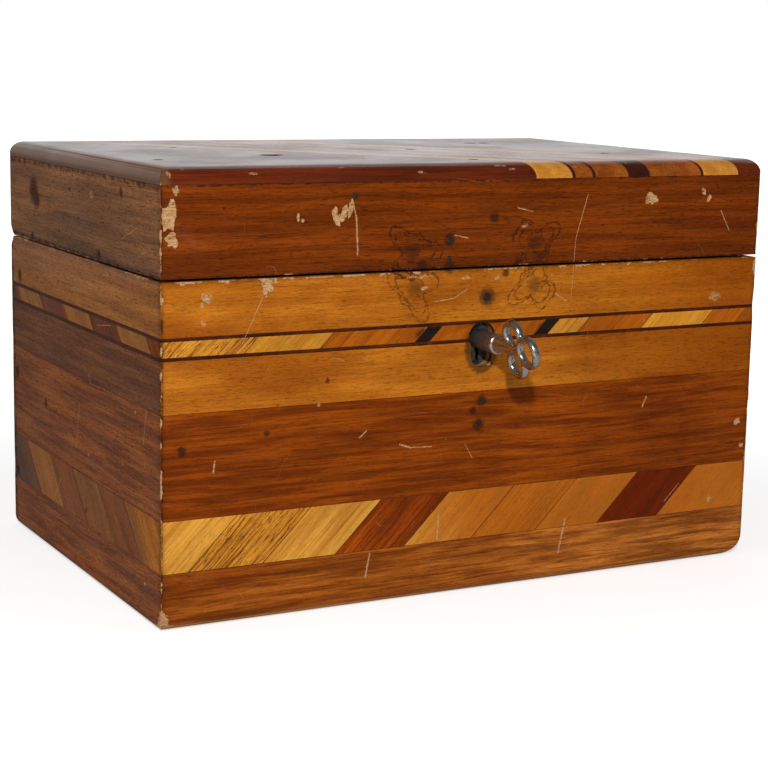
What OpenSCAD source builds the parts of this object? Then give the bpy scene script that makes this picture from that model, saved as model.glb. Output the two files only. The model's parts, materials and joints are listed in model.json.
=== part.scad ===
// Hinged wooden letter box with parquetry bands, a sliding bolt lock and a pipe key.
// Millimetres. X runs along the front, Y towards the back, Z up.
// The origin is the middle of the base, on the surface that the box stands on.

/* [Box] */
// Outer width along the front
box_w = 229; // [200:1:260]
// Outer depth, front face to back face
box_d = 152.5; // [130:0.5:180]
// Height of the case up to its rim
case_h = 111; // [106:0.5:125]
// Height of the lid
lid_h = 34.65; // [28:0.05:45]
// Thickness of the pine boards under the parquetry
wall_t = 9.5; // [8.5:0.5:12]
// Thickness of the parquetry glued on the boards
skin_t = 1.5; // [1:0.1:2]
// Thickness of the bottom board
bottom_t = 8; // [5:0.5:12]
// Thickness of the lid's rails
rail_t = 11; // [10.8:0.1:14]
// Thickness of the lid's top
top_t = 5.5; // [4:0.1:9]
// Open seam between case and lid at the back face
seam_back = 0.35; // [0.2:0.05:0.6]
// Open seam between case and lid at the front face
seam_front = 0.9; // [0.4:0.05:1.4]

/* [Rounded edges] */
// Radius of the bottom edges at front and back
foot_round = 5.5; // [2:0.5:8]
// Radius of the bottom left edge
foot_round_left = 3; // [2:0.5:9]
// Radius of the bottom right edge, the most worn
foot_round_right = 9.5; // [2:0.5:10]
// Radius of the top edges at front and back
top_round = 5.5; // [2:0.5:8]
// Radius of the top edges at left and right
top_round_side = 4.25; // [2:0.25:8]

/* [Parquetry bands] */
// Height of the base band
base_h = 19.1; // [15:0.1:24]
// Height of the wide band of slanted blocks
wide_h = 17; // [12:0.5:20]
// Height of the middle band, with the dark band filling what is left below it
middle_h = 16.9; // [12:0.1:18]
// Height of each stringing line
line_h = 1; // [0.6:0.1:1.4]
// Height of the narrow band of slips
narrow_h = 5.1; // [4:0.1:7]
// Height of the rim band
rim_h = 17.2; // [14:0.1:19]
// Length of a wide block along the band
block_l = 25.8; // [20:0.1:32]
// Where the first joint of the wide band meets the base band, on front and back
block_start = 9; // [5:0.5:20]
// The same place on the two ends, from the front
block_start_end = 16; // [5:0.5:20]
// Length of a narrow slip
slip_l = 26.5; // [20:0.5:32]
// Length of the slip left of the left lozenge
slip_left_l = 34.5; // [20:0.5:40]
// Length of the slip right of the right lozenge
slip_right_l = 12.5; // [8:0.5:26]
// Length of the first slip on the two ends, from the front
slip_end_l = 8; // [4:0.5:20]
// Length of a black lozenge
lozenge_l = 5.5; // [3:0.5:9]
// Distance of each black lozenge from the middle of the keyhole
lozenge_reach = 23; // [16:0.5:30]

/* [Lid strips] */
// Where the band of strips starts on the front edge, right of the middle
strip_start = 19.5; // [0:0.5:30]
// Where the band of strips starts on the back edge, from the left corner
strip_corner = 6; // [2:0.5:20]

/* [Hinges] */
// Length of each butt hinge
hinge_l = 28; // [20:1:36]
// Distance of each hinge's middle from the middle of the box
hinge_reach = 70; // [50:1:80]
// Depth of a hinge leaf, front to back
leaf_d = 7; // [6:0.5:7.5]
// Thickness of a hinge leaf
leaf_t = 1.1; // [0.8:0.1:1.4]
// Outer radius of the knuckles
knuckle_r = 2.1; // [1.8:0.1:2.4]
// Radius of the hinge pin
hinge_pin_r = 1; // [0.7:0.1:1.2]
// Distance of the hinge's axis in front of the back face
hinge_inset = 3.2; // [3:0.1:4]
// Opening angle at which the bevelled back edges meet
lid_stop = 99; // [90:1:110]

/* [Lock] */
// Width of the lock's back plate
lock_w = 50; // [46:1:60]
// Height of the lock's back plate
lock_h = 36; // [35:0.5:42]
// Thickness of the lock's plates
plate_t = 1.2; // [1:0.1:1.5]
// Width of the lock's cap
cap_w = 39; // [38:0.5:41]
// Sheet thickness of the cap
cap_t = 1; // [0.8:0.1:1.2]
// Wood left in front of the lock, parquetry and board together
lock_cover = 3.6; // [3.2:0.1:4.2]
// Distance of the key's axis below the rim
key_drop = 23.8; // [22.5:0.1:25]
// Travel of the bolt
bolt_throw = 4; // [3:0.5:4]
// Radius of the drill pin
pin_r = 1.1; // [0.8:0.1:1.3]
// Distance of each staple from the middle of the lock
staple_reach = 9; // [8.5:0.1:9.5]

/* [Key] */
// Radius of the key's barrel
barrel_r = 2.9; // [2.4:0.1:3.1]
// Length of barrel that stands out of the front
barrel_out = 9.5; // [5:0.5:14]
// Reach of the bit from the key's axis
bit_reach = 8; // [6.5:0.1:8.2]
// Width of the bit along the key
bit_w = 4.2; // [3:0.1:4.2]
// Thickness of the bit
bit_t = 1.6; // [1.2:0.1:2]
// Radius of the bow's wire
wire_r = 0.95; // [0.7:0.05:1.2]
// Radius of the two side loops, to the middle of the wire
side_loop_r = 4.3; // [3.6:0.1:5]
// Radius of the end loop, to the middle of the wire
end_loop_r = 4.75; // [4:0.05:5.5]
// Angle that the bow stands off the bit, as the photographed key's bow leans
bow_twist = 13; // [0:1:30]

/* [Keyhole] */
// Radius of the worn round hole in the wood
hole_r = 4.9; // [4.4:0.1:6]
// Radius of the worn slot below it
slot_r = 4; // [3.6:0.1:4.6]

/* [Hidden] */
$fn = 48;

// The four sides, as numbers that at_side() turns into places
FRONT = 0;
RIGHT = 1;
BACK = 2;
LEFT = 3;
SIDES = [FRONT, RIGHT, BACK, LEFT];

// How far a cutting shape runs past what it cuts
past = 1;
// Gap round a piece that is let into wood
fit = 0.05;
// Radial gap of a pin that turns or slides in its hole
running = 0.06;
// Gap between pieces that slide past each other
slack = 0.3;
// Half of the glue line where two sides meet in a mitre
glue = 0.02;

// Heights of the bands, from the surface upwards
wide_z = base_h;
dark_z = wide_z + wide_h;
rim_z = case_h - rim_h;
upper_line_z = rim_z - line_h;
narrow_z = upper_line_z - narrow_h;
line_z = narrow_z - line_h;
middle_z = line_z - middle_h;
box_top = case_h + seam_back + lid_h;
rail_top = box_top - top_t;

// Inner faces of the case
wall = skin_t + wall_t;
inner_x = box_w / 2 - wall;
inner_y = box_d / 2 - wall;
front_y = -box_d / 2;
back_y = box_d / 2;

// Kinds of wood along each band, from the left end or the front
LONG_BLOCKS = ["light", "striped", "light", "dark"];
END_BLOCKS = ["light", "dark"];
END_SLIPS = ["dark", "light"];
// The narrow band outwards from each black lozenge
LEFT_SLIPS = ["orange", "light", "striped"];
RIGHT_SLIPS = ["striped", "orange", "light", "orange"];
// Strips across the top from left to right: kind and width along the front edge
TOP_STRIPS = [["light", 14.5], ["dark", 1.2], ["orange", 7], ["dark", 1.2], ["orange", 13.5],
    ["dark", 9], ["orange", 22], ["dark", 1], ["light", 15.6]];

// Pieces of a band, each as its start, its end and its kind, from joints at its lower edge.
// A joint that would run out on the corner is left out
function pieces(side, height, joints, kinds) =
    let (
        inside = [for (j = joints) if (j > 0 && j < run(side) - height) j],
        edges = concat([-past - height], inside, [run(side) + past])
    )
    [for (i = [0 : len(edges) - 2]) [edges[i], edges[i + 1], kinds[i % len(kinds)]]];
function steps(first, step, side) = [for (i = [0 : ceil(run(side) / step)]) first + i * step];
function block_pieces(side) = side % 2 == 0
    ? pieces(side, wide_h, steps(block_start, block_l, side), LONG_BLOCKS)
    : pieces(side, wide_h, steps(block_start_end, block_l, side), END_BLOCKS);
function end_slip_pieces(side) =
    pieces(side, narrow_h, steps(slip_end_l, slip_l, side), END_SLIPS);
// The long narrow bands run outwards from the middle, so that the lozenges flank the keyhole
function side_slips(start, first_l, way, kinds, i = 0) =
    let (end = start + way * (i == 0 ? first_l : slip_l), over = abs(end) > box_w / 2 - narrow_h)
    let (stop = over ? way * (box_w / 2 + past + narrow_h) : end)
    concat([[min(start, stop) + box_w / 2, max(start, stop) + box_w / 2, kinds[i % len(kinds)]]],
        over ? [] : side_slips(end, first_l, way, kinds, i + 1));
function long_slip_pieces() =
    let (near = lozenge_reach - lozenge_l / 2, out = lozenge_reach + lozenge_l / 2, c = box_w / 2)
    concat([[c - near, c + near, "orange"], [c - out, c - near, "black"], [c + near, c + out, "black"]],
        side_slips(-out, slip_left_l, -1, LEFT_SLIPS), side_slips(out, slip_right_l, 1, RIGHT_SLIPS));
function run(side) = side % 2 == 0 ? box_w : box_d;
function reach(side) = (side % 2 == 0 ? box_d : box_w) / 2;
function seam_z(y) = case_h + seam_front + (seam_back - seam_front) * (y - front_y) / box_d;

// Hinge places
hinge_y = back_y - hinge_inset;
hinge_z = case_h + seam_back / 2;
leaf_y = hinge_y - leaf_d;
lid_leaf_z = seam_z(leaf_y);
bevel = lid_stop / 2;
bevel_gap = 0.15;
knuckle_gap = 0.15;
knuckle_l = (hinge_l - 2 * knuckle_gap) / 3;

// Lock places. A depth is measured from the front face inwards
plate_depth = wall - plate_t;
plate_z = case_h - lock_h;
sill_z = case_h - plate_t;
cap_z = plate_z + 2;
cap_inner_depth = lock_cover + cap_t;
// A broken nail ends before it would meet the lock
nail_clear = 0.4;
nail_l = lock_cover - nail_clear;
cap_inner_w = cap_w - 2 * cap_t;
key_z = case_h - key_drop;
bit_gap = 0.5;
// How far the drill pin stands out of the cap, and the bore beyond it
pin_out = 0.6;
bore_spare = 1;
bit_depth = cap_inner_depth + bit_gap;
barrel_tip_depth = plate_depth - slack;
bolt_depth = plate_depth - 0.1;
staple_t = 1.5;
staple_w = 4.2;
eye_w = 2.5;
staple_depth = plate_depth - slack - staple_w;
nose_t = 2;
nose_depth = staple_depth + (staple_w - nose_t) / 2;
nose_h = 2.4;
nose_l = 3.8;
post_w = 2.5;
// The bit's swing sets the height of the bolt and the width of its notch
swing_r = norm([bit_reach, bit_t / 2]);
talon_drop = 2.3;
bolt_z = key_z + bit_reach - talon_drop;
notch_top = key_z + swing_r + slack;
// The bar above the notch
bolt_over = 3.6;
bolt_bar_h = notch_top - bolt_z + bolt_over;
swing_half = sqrt(swing_r * swing_r - pow(bolt_z - key_z, 2));
// The bolt has moved three eighths of its throw when the bit comes up to it
notch_half = swing_half + slack + bolt_throw / 8;
bolt_half = 15;
bolt_mid = -bolt_throw / 2;
nose_z = bolt_z + bolt_bar_h + 2.4;
staple_z = nose_z - 1.4;
link_z = seam_z(front_y + staple_depth) + 0.05;
link_w = 42;
link_d = 7.4;
link_depth = staple_depth - 2;
link_screw_in = 4.5;

// Screws: head radius, shank radius, length
HINGE_SCREW = [1.6, 0.8, 7];
LOCK_SCREW = [2.1, 1.05, 6];
LINK_SCREW = [2.1, 1.05, 9];
// Broken nails: place right of the middle, height above the case's rim, and radius
CASE_NAILS = [[1.5, -9.5, 1.1], [0.5, -44.5, 0.9], [-0.5, -52, 0.8]];
LID_NAILS = [[-13.5, 10, 0.9], [-48.5, 25, 0.7], [-13.5, 4, 0.7]];

PINE = [0.79, 0.62, 0.38];
HONEY = [0.76, 0.48, 0.17];
AMBER = [0.66, 0.38, 0.12];
ORANGE = [0.70, 0.36, 0.11];
BROWN = [0.45, 0.22, 0.08];
MAHOGANY = [0.36, 0.14, 0.06];
EBONY = [0.10, 0.07, 0.05];
BRASS = [0.72, 0.58, 0.30];
STEEL = [0.62, 0.62, 0.62];
IRON = [0.36, 0.37, 0.36];

// Turns and places a side that is drawn as the front of its own run
module at_side(side) {
    if (side == LEFT)
        mirror([1, 0, 0]) rotate([0, 0, 90]) children();
    else
        rotate([0, 0, 90 * side]) children();
}

// One side of a mitred frame of the box's outer size
module frame_side(side, t, z0, z1) {
    r = run(side) / 2;
    d = reach(side);
    at_side(side) translate([0, 0, z0]) linear_extrude(z1 - z0)
        polygon([[-r + glue, -d], [r - glue, -d], [r - t - glue, -d + t], [-r + t + glue, -d + t]]);
}

// What a rounded corner takes off, with the corner at the origin
module corner_cut(r) {
    difference() {
        translate([-past, -past]) square(r + past);
        translate([r, r]) circle(r);
    }
}

// The outline of the closed box seen along one axis, with its four radii
module outline(w, low_left, low_right, high_left, high_right) {
    difference() {
        translate([-w / 2, 0]) square([w, box_top]);
        translate([-w / 2, 0]) corner_cut(low_left);
        translate([w / 2, 0]) mirror([1, 0]) corner_cut(low_right);
        translate([-w / 2, box_top]) mirror([0, 1]) corner_cut(high_left);
        translate([w / 2, box_top]) rotate(180) corner_cut(high_right);
    }
}

// The closed box with its rounded long edges
module envelope() {
    intersection() {
        translate([0, back_y + past, 0]) rotate([90, 0, 0]) linear_extrude(box_d + 2 * past)
            outline(box_w, foot_round_left, foot_round_right, top_round_side, top_round_side);
        translate([-box_w / 2 - past, 0, 0]) rotate([90, 0, 90]) linear_extrude(box_w + 2 * past)
            outline(box_d, foot_round, foot_round, top_round, top_round);
    }
}

// A shape drawn on the front and run inwards between two depths
module from_front(depth0, depth1) {
    translate([0, front_y + depth1, 0]) rotate([90, 0, 0]) linear_extrude(depth1 - depth0)
        children();
}

// The worn keyhole through the wood
module keyhole_cut() {
    slot_z = key_z - bit_reach - 1.1 + slot_r;
    hole_z = key_z + 1.2;
    from_front(-past, lock_cover + past) {
        translate([0, hole_z]) circle(hole_r);
        translate([0, slot_z]) circle(slot_r);
        translate([-slot_r, slot_z]) square([2 * slot_r, hole_z - slot_z]);
    }
}

// The pocket for the lock, cut from inside and from the rim
module lock_pocket() {
    // The back plate lies flush with the inside
    from_front(plate_depth, wall + past)
        translate([-lock_w / 2 - fit, plate_z - fit]) square([lock_w + 2 * fit, lock_h + past]);
    // The cap sits behind the wood that is left
    from_front(lock_cover, wall)
        translate([-cap_w / 2 - fit, cap_z - fit]) square([cap_w + 2 * fit, lock_h]);
    // The sill lies flush with the rim
    from_front(lock_cover, wall + past)
        translate([-lock_w / 2 - fit, sill_z]) square([lock_w + 2 * fit, plate_t + past]);
}

// A countersunk wood screw with its head at the origin, pointing down
module screw(spec, slot = true) {
    head_r = spec[0];
    shank_r = spec[1];
    length = spec[2];
    cone_h = head_r - shank_r;
    difference() {
        union() {
            translate([0, 0, -cone_h]) cylinder(r1 = shank_r, r2 = head_r, h = cone_h);
            translate([0, 0, -length + shank_r]) cylinder(r = shank_r, h = length - shank_r);
            translate([0, 0, -length]) cylinder(r1 = shank_r / 4, r2 = shank_r, h = shank_r);
        }
        if (slot)
            translate([-head_r, -shank_r / 4, -shank_r / 2]) cube([2 * head_r, shank_r / 2, head_r]);
    }
}

// Places of the screws
module at_hinge_screws() {
    for (side = [-1, 1], end = [-1, 1])
        translate([side * hinge_reach + end * hinge_l / 3, leaf_y + leaf_d * 0.38, 0]) children();
}
module at_case_hinge_screws() at_hinge_screws() translate([0, 0, case_h]) children();
module at_lid_hinge_screws() at_hinge_screws() translate([0, 0, lid_leaf_z]) mirror([0, 0, 1])
    children();
module at_lock_screws() {
    x = (lock_w + cap_w) / 4;
    for (side = [-1, 1], z = [plate_z + lock_h / 6, case_h - lock_h / 4])
        translate([side * x, front_y + wall, z]) rotate([-90, 0, 0]) children();
}
module at_link_screws() {
    for (side = [-1, 1])
        translate([side * (link_w / 2 - link_screw_in), front_y + link_depth + link_d / 2, link_z])
            mirror([0, 0, 1]) children();
}
module at_nails(places) {
    for (p = places)
        translate([p[0], front_y, case_h + p[1]]) rotate([-90, 0, 0])
            cylinder(r = p[2], h = nail_l);
}

// The wedge of air between case and lid, and everything below it
module below_lid() {
    translate([-box_w / 2 - past, 0, 0]) rotate([90, 0, 90]) linear_extrude(box_w + 2 * past)
        polygon([[front_y - past, 0], [back_y + past, 0], [back_y + past, seam_z(back_y + past)],
            [front_y - past, seam_z(front_y - past)]]);
}

// The bevel on a back edge that lets the lid swing until the two bevels meet
module back_bevel(up) {
    depth = hinge_inset + past;
    apex_y = hinge_y - bevel_gap / sin(bevel);
    tail_y = back_y + past;
    tail_z = (tail_y - apex_y) * tan(bevel);
    translate([-box_w / 2 - past, 0, hinge_z]) rotate([90, 0, 90])
        linear_extrude(box_w + 2 * past)
            polygon([[apex_y, 0], [tail_y, 0], [tail_y, up * tail_z]]);
}

// Room for the knuckles in the wood
module knuckle_room() {
    for (side = [-1, 1])
        translate([side * hinge_reach - hinge_l / 2 - slack, hinge_y, hinge_z]) rotate([0, 90, 0])
            cylinder(r = knuckle_r + slack, h = hinge_l + 2 * slack);
}

// The mortises for the hinge leaves
module leaf_room(z, h) {
    for (side = [-1, 1])
        translate([side * hinge_reach - hinge_l / 2 - fit, leaf_y - fit, z])
            cube([hinge_l + 2 * fit, leaf_d + fit, h]);
}

// A block of the case's body, inside the parquetry
module core(low, high) {
    intersection() {
        envelope();
        translate(low) cube(high - low);
    }
}

module bottom_board() color(PINE)
    translate([-inner_x, -inner_y, 0]) cube([2 * inner_x, 2 * inner_y, bottom_t]);

module front_board() color(PINE) difference() {
    core([-box_w / 2 + skin_t, front_y + skin_t, 0], [box_w / 2 - skin_t, -inner_y, case_h]);
    lock_pocket();
    keyhole_cut();
    at_lock_screws() screw(LOCK_SCREW, slot = false);
    at_nails(CASE_NAILS);
}

module back_board() color(PINE) difference() {
    core([-box_w / 2 + skin_t, inner_y, 0], [box_w / 2 - skin_t, back_y - skin_t, case_h]);
    back_bevel(-1);
    knuckle_room();
    leaf_room(case_h - leaf_t, leaf_t + past);
    at_case_hinge_screws() screw(HINGE_SCREW, slot = false);
}

module left_board() color(PINE)
    core([-box_w / 2 + skin_t, -inner_y, 0], [-inner_x, inner_y, case_h]);
module right_board() color(PINE)
    core([inner_x, -inner_y, 0], [box_w / 2 - skin_t, inner_y, case_h]);

// Bands of one wood that run the whole length of a side
module base_band(side) color(BROWN) intersection() {
    envelope();
    frame_side(side, skin_t, 0, wide_z);
}
module front_base_band() base_band(FRONT);
module back_base_band() base_band(BACK);
module left_base_band() base_band(LEFT);
module right_base_band() base_band(RIGHT);

module front_dark_band() color(BROWN) difference() {
    frame_side(FRONT, skin_t, dark_z, middle_z);
    at_nails(CASE_NAILS);
}
module back_dark_band() color(BROWN) frame_side(BACK, skin_t, dark_z, middle_z);
module left_dark_band() color(BROWN) frame_side(LEFT, skin_t, dark_z, middle_z);
module right_dark_band() color(BROWN) frame_side(RIGHT, skin_t, dark_z, middle_z);

module front_middle_band() color(HONEY) difference() {
    frame_side(FRONT, skin_t, middle_z, line_z);
    keyhole_cut();
}
module back_middle_band() color(HONEY) frame_side(BACK, skin_t, middle_z, line_z);
module left_middle_band() color(BROWN) frame_side(LEFT, skin_t, middle_z, line_z);
module right_middle_band() color(BROWN) frame_side(RIGHT, skin_t, middle_z, line_z);

module front_rim_band() color(HONEY) difference() {
    frame_side(FRONT, skin_t, rim_z, case_h);
    at_nails(CASE_NAILS);
}
module back_rim_band() color(HONEY) difference() {
    frame_side(BACK, skin_t, rim_z, case_h);
    back_bevel(-1);
    knuckle_room();
}
module left_rim_band() color(HONEY) difference() {
    frame_side(LEFT, skin_t, rim_z, case_h);
    back_bevel(-1);
}
module right_rim_band() color(HONEY) difference() {
    frame_side(RIGHT, skin_t, rim_z, case_h);
    back_bevel(-1);
}

// The pieces of one kind in a band whose joints slant at 45 degrees
module slanted_pieces(side, z0, z1, all_pieces, wanted) {
    intersection() {
        frame_side(side, skin_t, z0, z1);
        at_side(side) translate([-run(side) / 2, -reach(side) + skin_t + past, 0])
            rotate([90, 0, 0]) linear_extrude(skin_t + 2 * past)
                for (p = all_pieces) if (p[2] == wanted)
                    polygon([[p[0], z0], [p[1], z0], [p[1] + z1 - z0, z1], [p[0] + z1 - z0, z1]]);
    }
}

module wide_blocks(sides, wanted)
    for (side = sides)
        slanted_pieces(side, wide_z, dark_z, block_pieces(side), wanted);
module long_light_blocks() color(HONEY) wide_blocks([FRONT, BACK], "light");
module long_striped_blocks() color(AMBER) wide_blocks([FRONT, BACK], "striped");
module long_dark_blocks() color(MAHOGANY) wide_blocks([FRONT, BACK], "dark");
module end_light_blocks() color(HONEY) wide_blocks([LEFT, RIGHT], "light");
module end_dark_blocks() color(BROWN) wide_blocks([LEFT, RIGHT], "dark");

module long_slips(wanted) difference() {
    for (side = [FRONT, BACK])
        slanted_pieces(side, narrow_z, upper_line_z, long_slip_pieces(), wanted);
    keyhole_cut();
}
module end_slips(wanted)
    for (side = [LEFT, RIGHT])
        slanted_pieces(side, narrow_z, upper_line_z, end_slip_pieces(side), wanted);
module long_light_slips() color(HONEY) long_slips("light");
module long_orange_slips() color(ORANGE) long_slips("orange");
module long_striped_slips() color(AMBER) long_slips("striped");
module black_lozenges() color(EBONY) long_slips("black");
module end_light_slips() color(AMBER) end_slips("light");
module end_dark_slips() color(MAHOGANY) end_slips("dark");

module stringing_lines() color(EBONY) difference() {
    for (side = SIDES, z = [line_z, upper_line_z])
        frame_side(side, skin_t, z, z + line_h);
    keyhole_cut();
}

module case_nails() color(IRON) at_nails(CASE_NAILS);
module lid_nails() color(IRON) at_nails(LID_NAILS);

// A mitred rail of the lid, cut to the seam
module rail(side) difference() {
    intersection() {
        envelope();
        frame_side(side, rail_t, case_h, rail_top);
    }
    below_lid();
    back_bevel(1);
}
module lid_front_rail() color(MAHOGANY) difference() {
    rail(FRONT);
    translate([-link_w / 2 - fit, front_y + link_depth - fit, case_h])
        cube([link_w + 2 * fit, link_d + 2 * fit, link_z + plate_t - case_h]);
    at_link_screws() screw(LINK_SCREW, slot = false);
    at_nails(LID_NAILS);
}
module lid_back_rail() color(MAHOGANY) difference() {
    rail(BACK);
    knuckle_room();
    leaf_room(case_h, lid_leaf_z + leaf_t - case_h);
    at_lid_hinge_screws() screw(HINGE_SCREW, slot = false);
}
module lid_left_rail() color(BROWN) rail(LEFT);
module lid_right_rail() color(BROWN) rail(RIGHT);

// A piece of the lid's top between two places on the front edge, leaning to the back left
module top_piece(x0, x1) {
    lean = strip_start + box_w / 2 - strip_corner;
    intersection() {
        envelope();
        translate([0, 0, rail_top]) linear_extrude(top_t)
            polygon([[x0, front_y], [x1, front_y], [x1 - lean, back_y], [x0 - lean, back_y]]);
    }
}
function strip_x(i) = i == 0 ? strip_start : strip_x(i - 1) + TOP_STRIPS[i - 1][1];
module top_strips(wanted)
    for (i = [0 : len(TOP_STRIPS) - 1]) if (TOP_STRIPS[i][0] == wanted)
        top_piece(strip_x(i), strip_x(i + 1));
far = 2 * (box_w + box_d);
module top_left_field() color(MAHOGANY) top_piece(-far, strip_start);
module top_right_field() color(MAHOGANY) top_piece(strip_x(len(TOP_STRIPS)), far);
module top_light_strips() color(HONEY) top_strips("light");
module top_orange_strips() color(ORANGE) top_strips("orange");
module top_dark_strips() color(EBONY) top_strips("dark");

// Knuckles of one leaf: their numbers along the hinge, with the pin's hole
module knuckles(numbers, hinge_x) {
    for (n = numbers)
        translate([hinge_x - hinge_l / 2 + n * (knuckle_l + knuckle_gap), hinge_y, hinge_z])
            rotate([0, 90, 0]) cylinder(r = knuckle_r, h = knuckle_l);
}
// The part of a leaf that runs on to the axis at its own knuckles
module leaf(numbers, z) {
    for (side = [-1, 1]) difference() {
        union() {
            translate([side * hinge_reach - hinge_l / 2, leaf_y, z])
                cube([hinge_l, leaf_d - knuckle_r - slack, leaf_t]);
            for (n = numbers)
                translate([side * hinge_reach - hinge_l / 2 + n * (knuckle_l + knuckle_gap),
                    leaf_y, z]) cube([knuckle_l, leaf_d, leaf_t]);
            knuckles(numbers, side * hinge_reach);
        }
        translate([side * hinge_reach - hinge_l / 2 - past, hinge_y, hinge_z]) rotate([0, 90, 0])
            cylinder(r = hinge_pin_r + running, h = hinge_l + 2 * past);
    }
}
module hinge_case_leaves() color(BRASS) difference() {
    leaf([0, 2], case_h - leaf_t);
    at_case_hinge_screws() screw(HINGE_SCREW, slot = false);
}
module hinge_lid_leaves() color(BRASS) difference() {
    leaf([1], lid_leaf_z);
    at_lid_hinge_screws() screw(HINGE_SCREW, slot = false);
}
module hinge_pins() color(BRASS)
    for (side = [-1, 1])
        translate([side * hinge_reach - hinge_l / 2, hinge_y, hinge_z]) rotate([0, 90, 0])
            cylinder(r = hinge_pin_r, h = hinge_l);
module hinge_case_screws() color(BRASS) at_case_hinge_screws() screw(HINGE_SCREW);
module hinge_lid_screws() color(BRASS) at_lid_hinge_screws() screw(HINGE_SCREW);

// The back plate with its sill, which the staples pass through
module lock_plate() color(IRON) difference() {
    union() {
        from_front(plate_depth, wall)
            translate([-lock_w / 2, plate_z]) square([lock_w, lock_h]);
        from_front(lock_cover, wall)
            translate([-lock_w / 2, sill_z]) square([lock_w, plate_t]);
    }
    for (side = [-1, 1])
        translate([side * staple_reach - staple_t / 2 - slack, front_y + staple_depth - 0.55,
            sill_z - past])
            cube([staple_t + 2 * slack, staple_w + 0.8, plate_t + 2 * past]);
    translate([0, front_y + plate_depth - past, key_z]) rotate([-90, 0, 0])
        cylinder(r = pin_r + running, h = plate_t + 2 * past);
    at_lock_screws() screw(LOCK_SCREW, slot = false);
}

// The cap, a shallow tray with the metal keyhole
module lock_cap() color(IRON) difference() {
    from_front(lock_cover, plate_depth)
        translate([-cap_w / 2, cap_z]) square([cap_w, sill_z - cap_z]);
    from_front(cap_inner_depth, plate_depth + past)
        translate([-cap_inner_w / 2, cap_z + cap_t]) square([cap_inner_w, lock_h]);
    from_front(lock_cover - past, cap_inner_depth + past) {
        translate([0, key_z]) circle(barrel_r + 0.2);
        translate([-bit_t / 2 - slack, key_z - bit_reach - slack])
            square([bit_t + 2 * slack, bit_reach]);
    }
}

// The bolt: a bar with the notch that the bit drives, and two noses for the staples
module lock_bolt() color(BRASS) {
    difference() {
        from_front(nose_depth, bolt_depth)
            translate([bolt_mid - bolt_half, bolt_z]) square([2 * bolt_half, bolt_bar_h]);
        from_front(nose_depth - past, bolt_depth + past)
            translate([bolt_mid - notch_half, bolt_z - past])
                square([2 * notch_half, notch_top - bolt_z + past]);
    }
    for (side = [-1, 1]) {
        nose_end = side * staple_reach - staple_t / 2 - 0.5;
        post_end = side * staple_reach - staple_t / 2 - slack - bolt_throw;
        from_front(nose_depth, nose_depth + nose_t) {
            translate([post_end - post_w, nose_z]) square([nose_end - post_end + post_w, nose_h]);
            translate([post_end - post_w, bolt_z + bolt_bar_h - past])
                square([post_w, nose_z + nose_h - bolt_z - bolt_bar_h + past]);
        }
    }
}

// The leaf spring that bears on the bolt from below
module bolt_spring() {
    strip_t = 0.5;
    spring_w = 2.6;
    spring_l = 9.2;
    spring_r = 12;
    spring_mid = 6;
    foot_x = -cap_inner_w / 2;
    top_z = bolt_z - 0.15;
    color(STEEL) intersection() {
        translate([foot_x + spring_mid, front_y + bolt_depth - 0.2, top_z - spring_r]) rotate([90, 0, 0])
            difference() {
                cylinder(r = spring_r, h = spring_w);
                translate([0, 0, -past]) cylinder(r = spring_r - strip_t, h = spring_w + 2 * past);
            }
        from_front(lock_cover, plate_depth)
            translate([foot_x + glue, cap_z]) square([spring_l, lock_h]);
    }
}

module drill_pin() color(STEEL)
    translate([0, front_y + lock_cover - pin_out, key_z]) rotate([-90, 0, 0])
        cylinder(r = pin_r, h = wall - lock_cover + pin_out);

module lock_screws() color(IRON) at_lock_screws() screw(LOCK_SCREW);

// The link plate in the lid's front rail, with its two staples
module link_plate() color(IRON) difference() {
    union() {
        translate([-link_w / 2, front_y + link_depth, link_z]) cube([link_w, link_d, plate_t]);
        for (side = [-1, 1]) staple(side * staple_reach);
    }
    at_link_screws() screw(LINK_SCREW, slot = false);
}
module staple(x) {
    mid_y = front_y + staple_depth + staple_w / 2;
    translate([x - staple_t / 2, mid_y, 0]) rotate([90, 0, 90]) linear_extrude(staple_t)
        difference() {
            union() {
                translate([0, staple_z + staple_w / 2]) circle(staple_w / 2);
                translate([-staple_w / 2, staple_z + staple_w / 2])
                    square([staple_w, link_z - staple_z - staple_w / 2 + plate_t / 2]);
            }
            translate([-eye_w / 2, nose_z - 0.4]) square([eye_w, nose_h + 0.8]);
        }
}
module link_screws() color(IRON) at_link_screws() screw(LINK_SCREW);

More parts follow.
